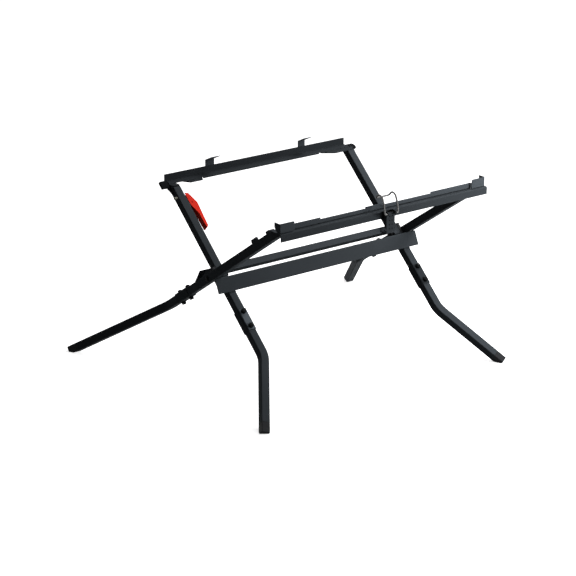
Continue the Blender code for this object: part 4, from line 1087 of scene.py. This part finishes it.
class STAND_OT_stage(bpy.types.Operator):
    """Sets up the floor, the lamps and the camera"""

    bl_idname = "stand.stage"
    bl_label = "Studio"

    def execute(self, context):
        stage = context.scene.stand_stage
        self.camera(context, stage)
        self.floor()
        self.world(context, stage)
        for name, size in LAMP_SIZES.items():
            place = getattr(stage, f"{name}_place")
            power = getattr(stage, f"{name}_power")
            self.lamp(f"{name} lamp", place, size, power)
        context.scene.view_settings.view_transform = "Standard"
        return {"FINISHED"}

    def direction(self, azimuth, elevation):
        """Unit vector from the stand to the camera."""
        flat = math.cos(elevation)
        return Vector((math.sin(azimuth) * flat, -math.cos(azimuth) * flat, math.sin(elevation)))

    def camera(self, context, stage):
        """The photo's camera."""
        data = bpy.data.cameras.new("photo camera")
        data.lens = stage.lens
        data.sensor_width = SENSOR_WIDTH
        data.shift_x, data.shift_y = CAMERA_SHIFT
        camera = bpy.data.objects.new("photo camera", data)
        context.scene.collection.objects.link(camera)
        back = self.direction(stage.azimuth, stage.elevation)
        camera.location = Vector(stage.aim) + back * stage.distance
        camera.rotation_mode = "QUATERNION"
        camera.rotation_quaternion = (-back).to_track_quat("-Z", "Y")
        context.scene.camera = camera

    def lamp(self, name, place, size, power):
        """A round lamp that faces the middle of the stand."""
        data = bpy.data.lights.new(name, "AREA")
        data.shape = "DISK"
        data.size = size
        data.energy = power
        lamp = bpy.data.objects.new(name, data)
        bpy.context.scene.collection.objects.link(lamp)
        lamp.visible_camera = False
        lamp.location = place
        lamp.rotation_mode = "QUATERNION"
        lamp.rotation_quaternion = (PIVOT - lamp.location).to_track_quat("-Z", "Y")

    def seen_share(self, shader):
        """1 for camera, glossy and transmission rays, and 0 for the rest."""
        path = shader.node("ShaderNodeLightPath")
        seen = shader.math("MAXIMUM", path.outputs["Is Camera Ray"], path.outputs["Is Glossy Ray"])
        return shader.math("MAXIMUM", seen, path.outputs["Is Transmission Ray"])

    def floor(self):
        """A floor that keeps the shadow near the stand and glows white further out."""
        mesh = bmesh.new()
        bmesh.ops.create_grid(mesh, x_segments=1, y_segments=1, size=FLOOR_HALF)
        floor = new_object("studio_floor", mesh)
        shader = Shader("pale floor")
        seen = self.seen_share(shader)
        shader.link(shader.mix(seen, FLOOR_LIT, FLOOR_SEEN), shader.surface.inputs["Base Color"])
        shader.set(Roughness=0.9, Specular_IOR_Level=0.0)
        shader.surface.inputs["Emission Color"].default_value = (1, 1, 1, 1)
        away = shader.node("ShaderNodeVectorMath", operation="LENGTH")
        shader.link(shader.place, away.inputs[0])
        glow = shader.spread(away.outputs["Value"], *GLOW_SPAN, *GLOW)
        shader.link(shader.math("MULTIPLY", seen, glow), shader.surface.inputs["Emission Strength"])
        floor.data.materials.append(shader.material)

    def world(self, context, stage):
        """Low light from all round, and white where the world itself is seen."""
        world = bpy.data.worlds.new("studio")
        context.scene.world = world
        world.use_nodes = True
        nodes, links = world.node_tree.nodes, world.node_tree.links
        nodes.clear()
        path = nodes.new("ShaderNodeLightPath")
        camera_or_gloss = nodes.new("ShaderNodeMath")
        camera_or_gloss.operation = "MAXIMUM"
        links.new(path.outputs["Is Camera Ray"], camera_or_gloss.inputs[0])
        links.new(path.outputs["Is Glossy Ray"], camera_or_gloss.inputs[1])
        seen = nodes.new("ShaderNodeMath")
        seen.operation = "MAXIMUM"
        links.new(camera_or_gloss.outputs[0], seen.inputs[0])
        links.new(path.outputs["Is Transmission Ray"], seen.inputs[1])
        strength = nodes.new("ShaderNodeMapRange")
        strength.inputs["To Min"].default_value = stage.ambient
        strength.inputs["To Max"].default_value = 1.0
        links.new(seen.outputs[0], strength.inputs["Value"])
        background = nodes.new("ShaderNodeBackground")
        links.new(strength.outputs["Result"], background.inputs["Strength"])
        background.inputs["Color"].default_value = (1, 1, 1, 1)
        output = nodes.new("ShaderNodeOutputWorld")
        links.new(background.outputs[0], output.inputs["Surface"])


OPERATORS = (
    STAND_OT_tubes,
    STAND_OT_sheet,
    STAND_OT_rubber,
    STAND_OT_fasteners,
    STAND_OT_latch,
    STAND_OT_release,
    STAND_OT_welds,
    STAND_OT_stage,
)


class STAND_PT_panel(bpy.types.Panel):
    """Lists the stand's pieces in the sidebar"""

    bl_idname = "STAND_PT_panel"
    bl_label = "Saw stand"
    bl_space_type = "VIEW_3D"
    bl_region_type = "UI"
    bl_category = "Saw stand"

    def draw(self, context):
        for operator in OPERATORS:
            self.layout.operator(operator.bl_idname)
        for name in SETTINGS:
            settings = getattr(context.scene, name)
            for key in settings.__annotations__:
                self.layout.prop(settings, key)


SETTINGS = {
    "stand_coat": CoatSettings,
    "stand_fasteners": FastenerSettings,
    "stand_welds": WeldSettings,
    "stand_stage": StageSettings,
}
CLASSES = (*SETTINGS.values(), *OPERATORS, STAND_PT_panel)


def register():
    for cls in CLASSES:
        bpy.utils.register_class(cls)
    for name, settings in SETTINGS.items():
        setattr(bpy.types.Scene, name, PointerProperty(type=settings))


def unregister():
    for name in SETTINGS:
        delattr(bpy.types.Scene, name)
    for cls in reversed(CLASSES):
        bpy.utils.unregister_class(cls)


def main():
    register()
    for operator in OPERATORS:
        group, name = operator.bl_idname.split(".")
        getattr(getattr(bpy.ops, group), name)()


if __name__ == "__main__":
    main()
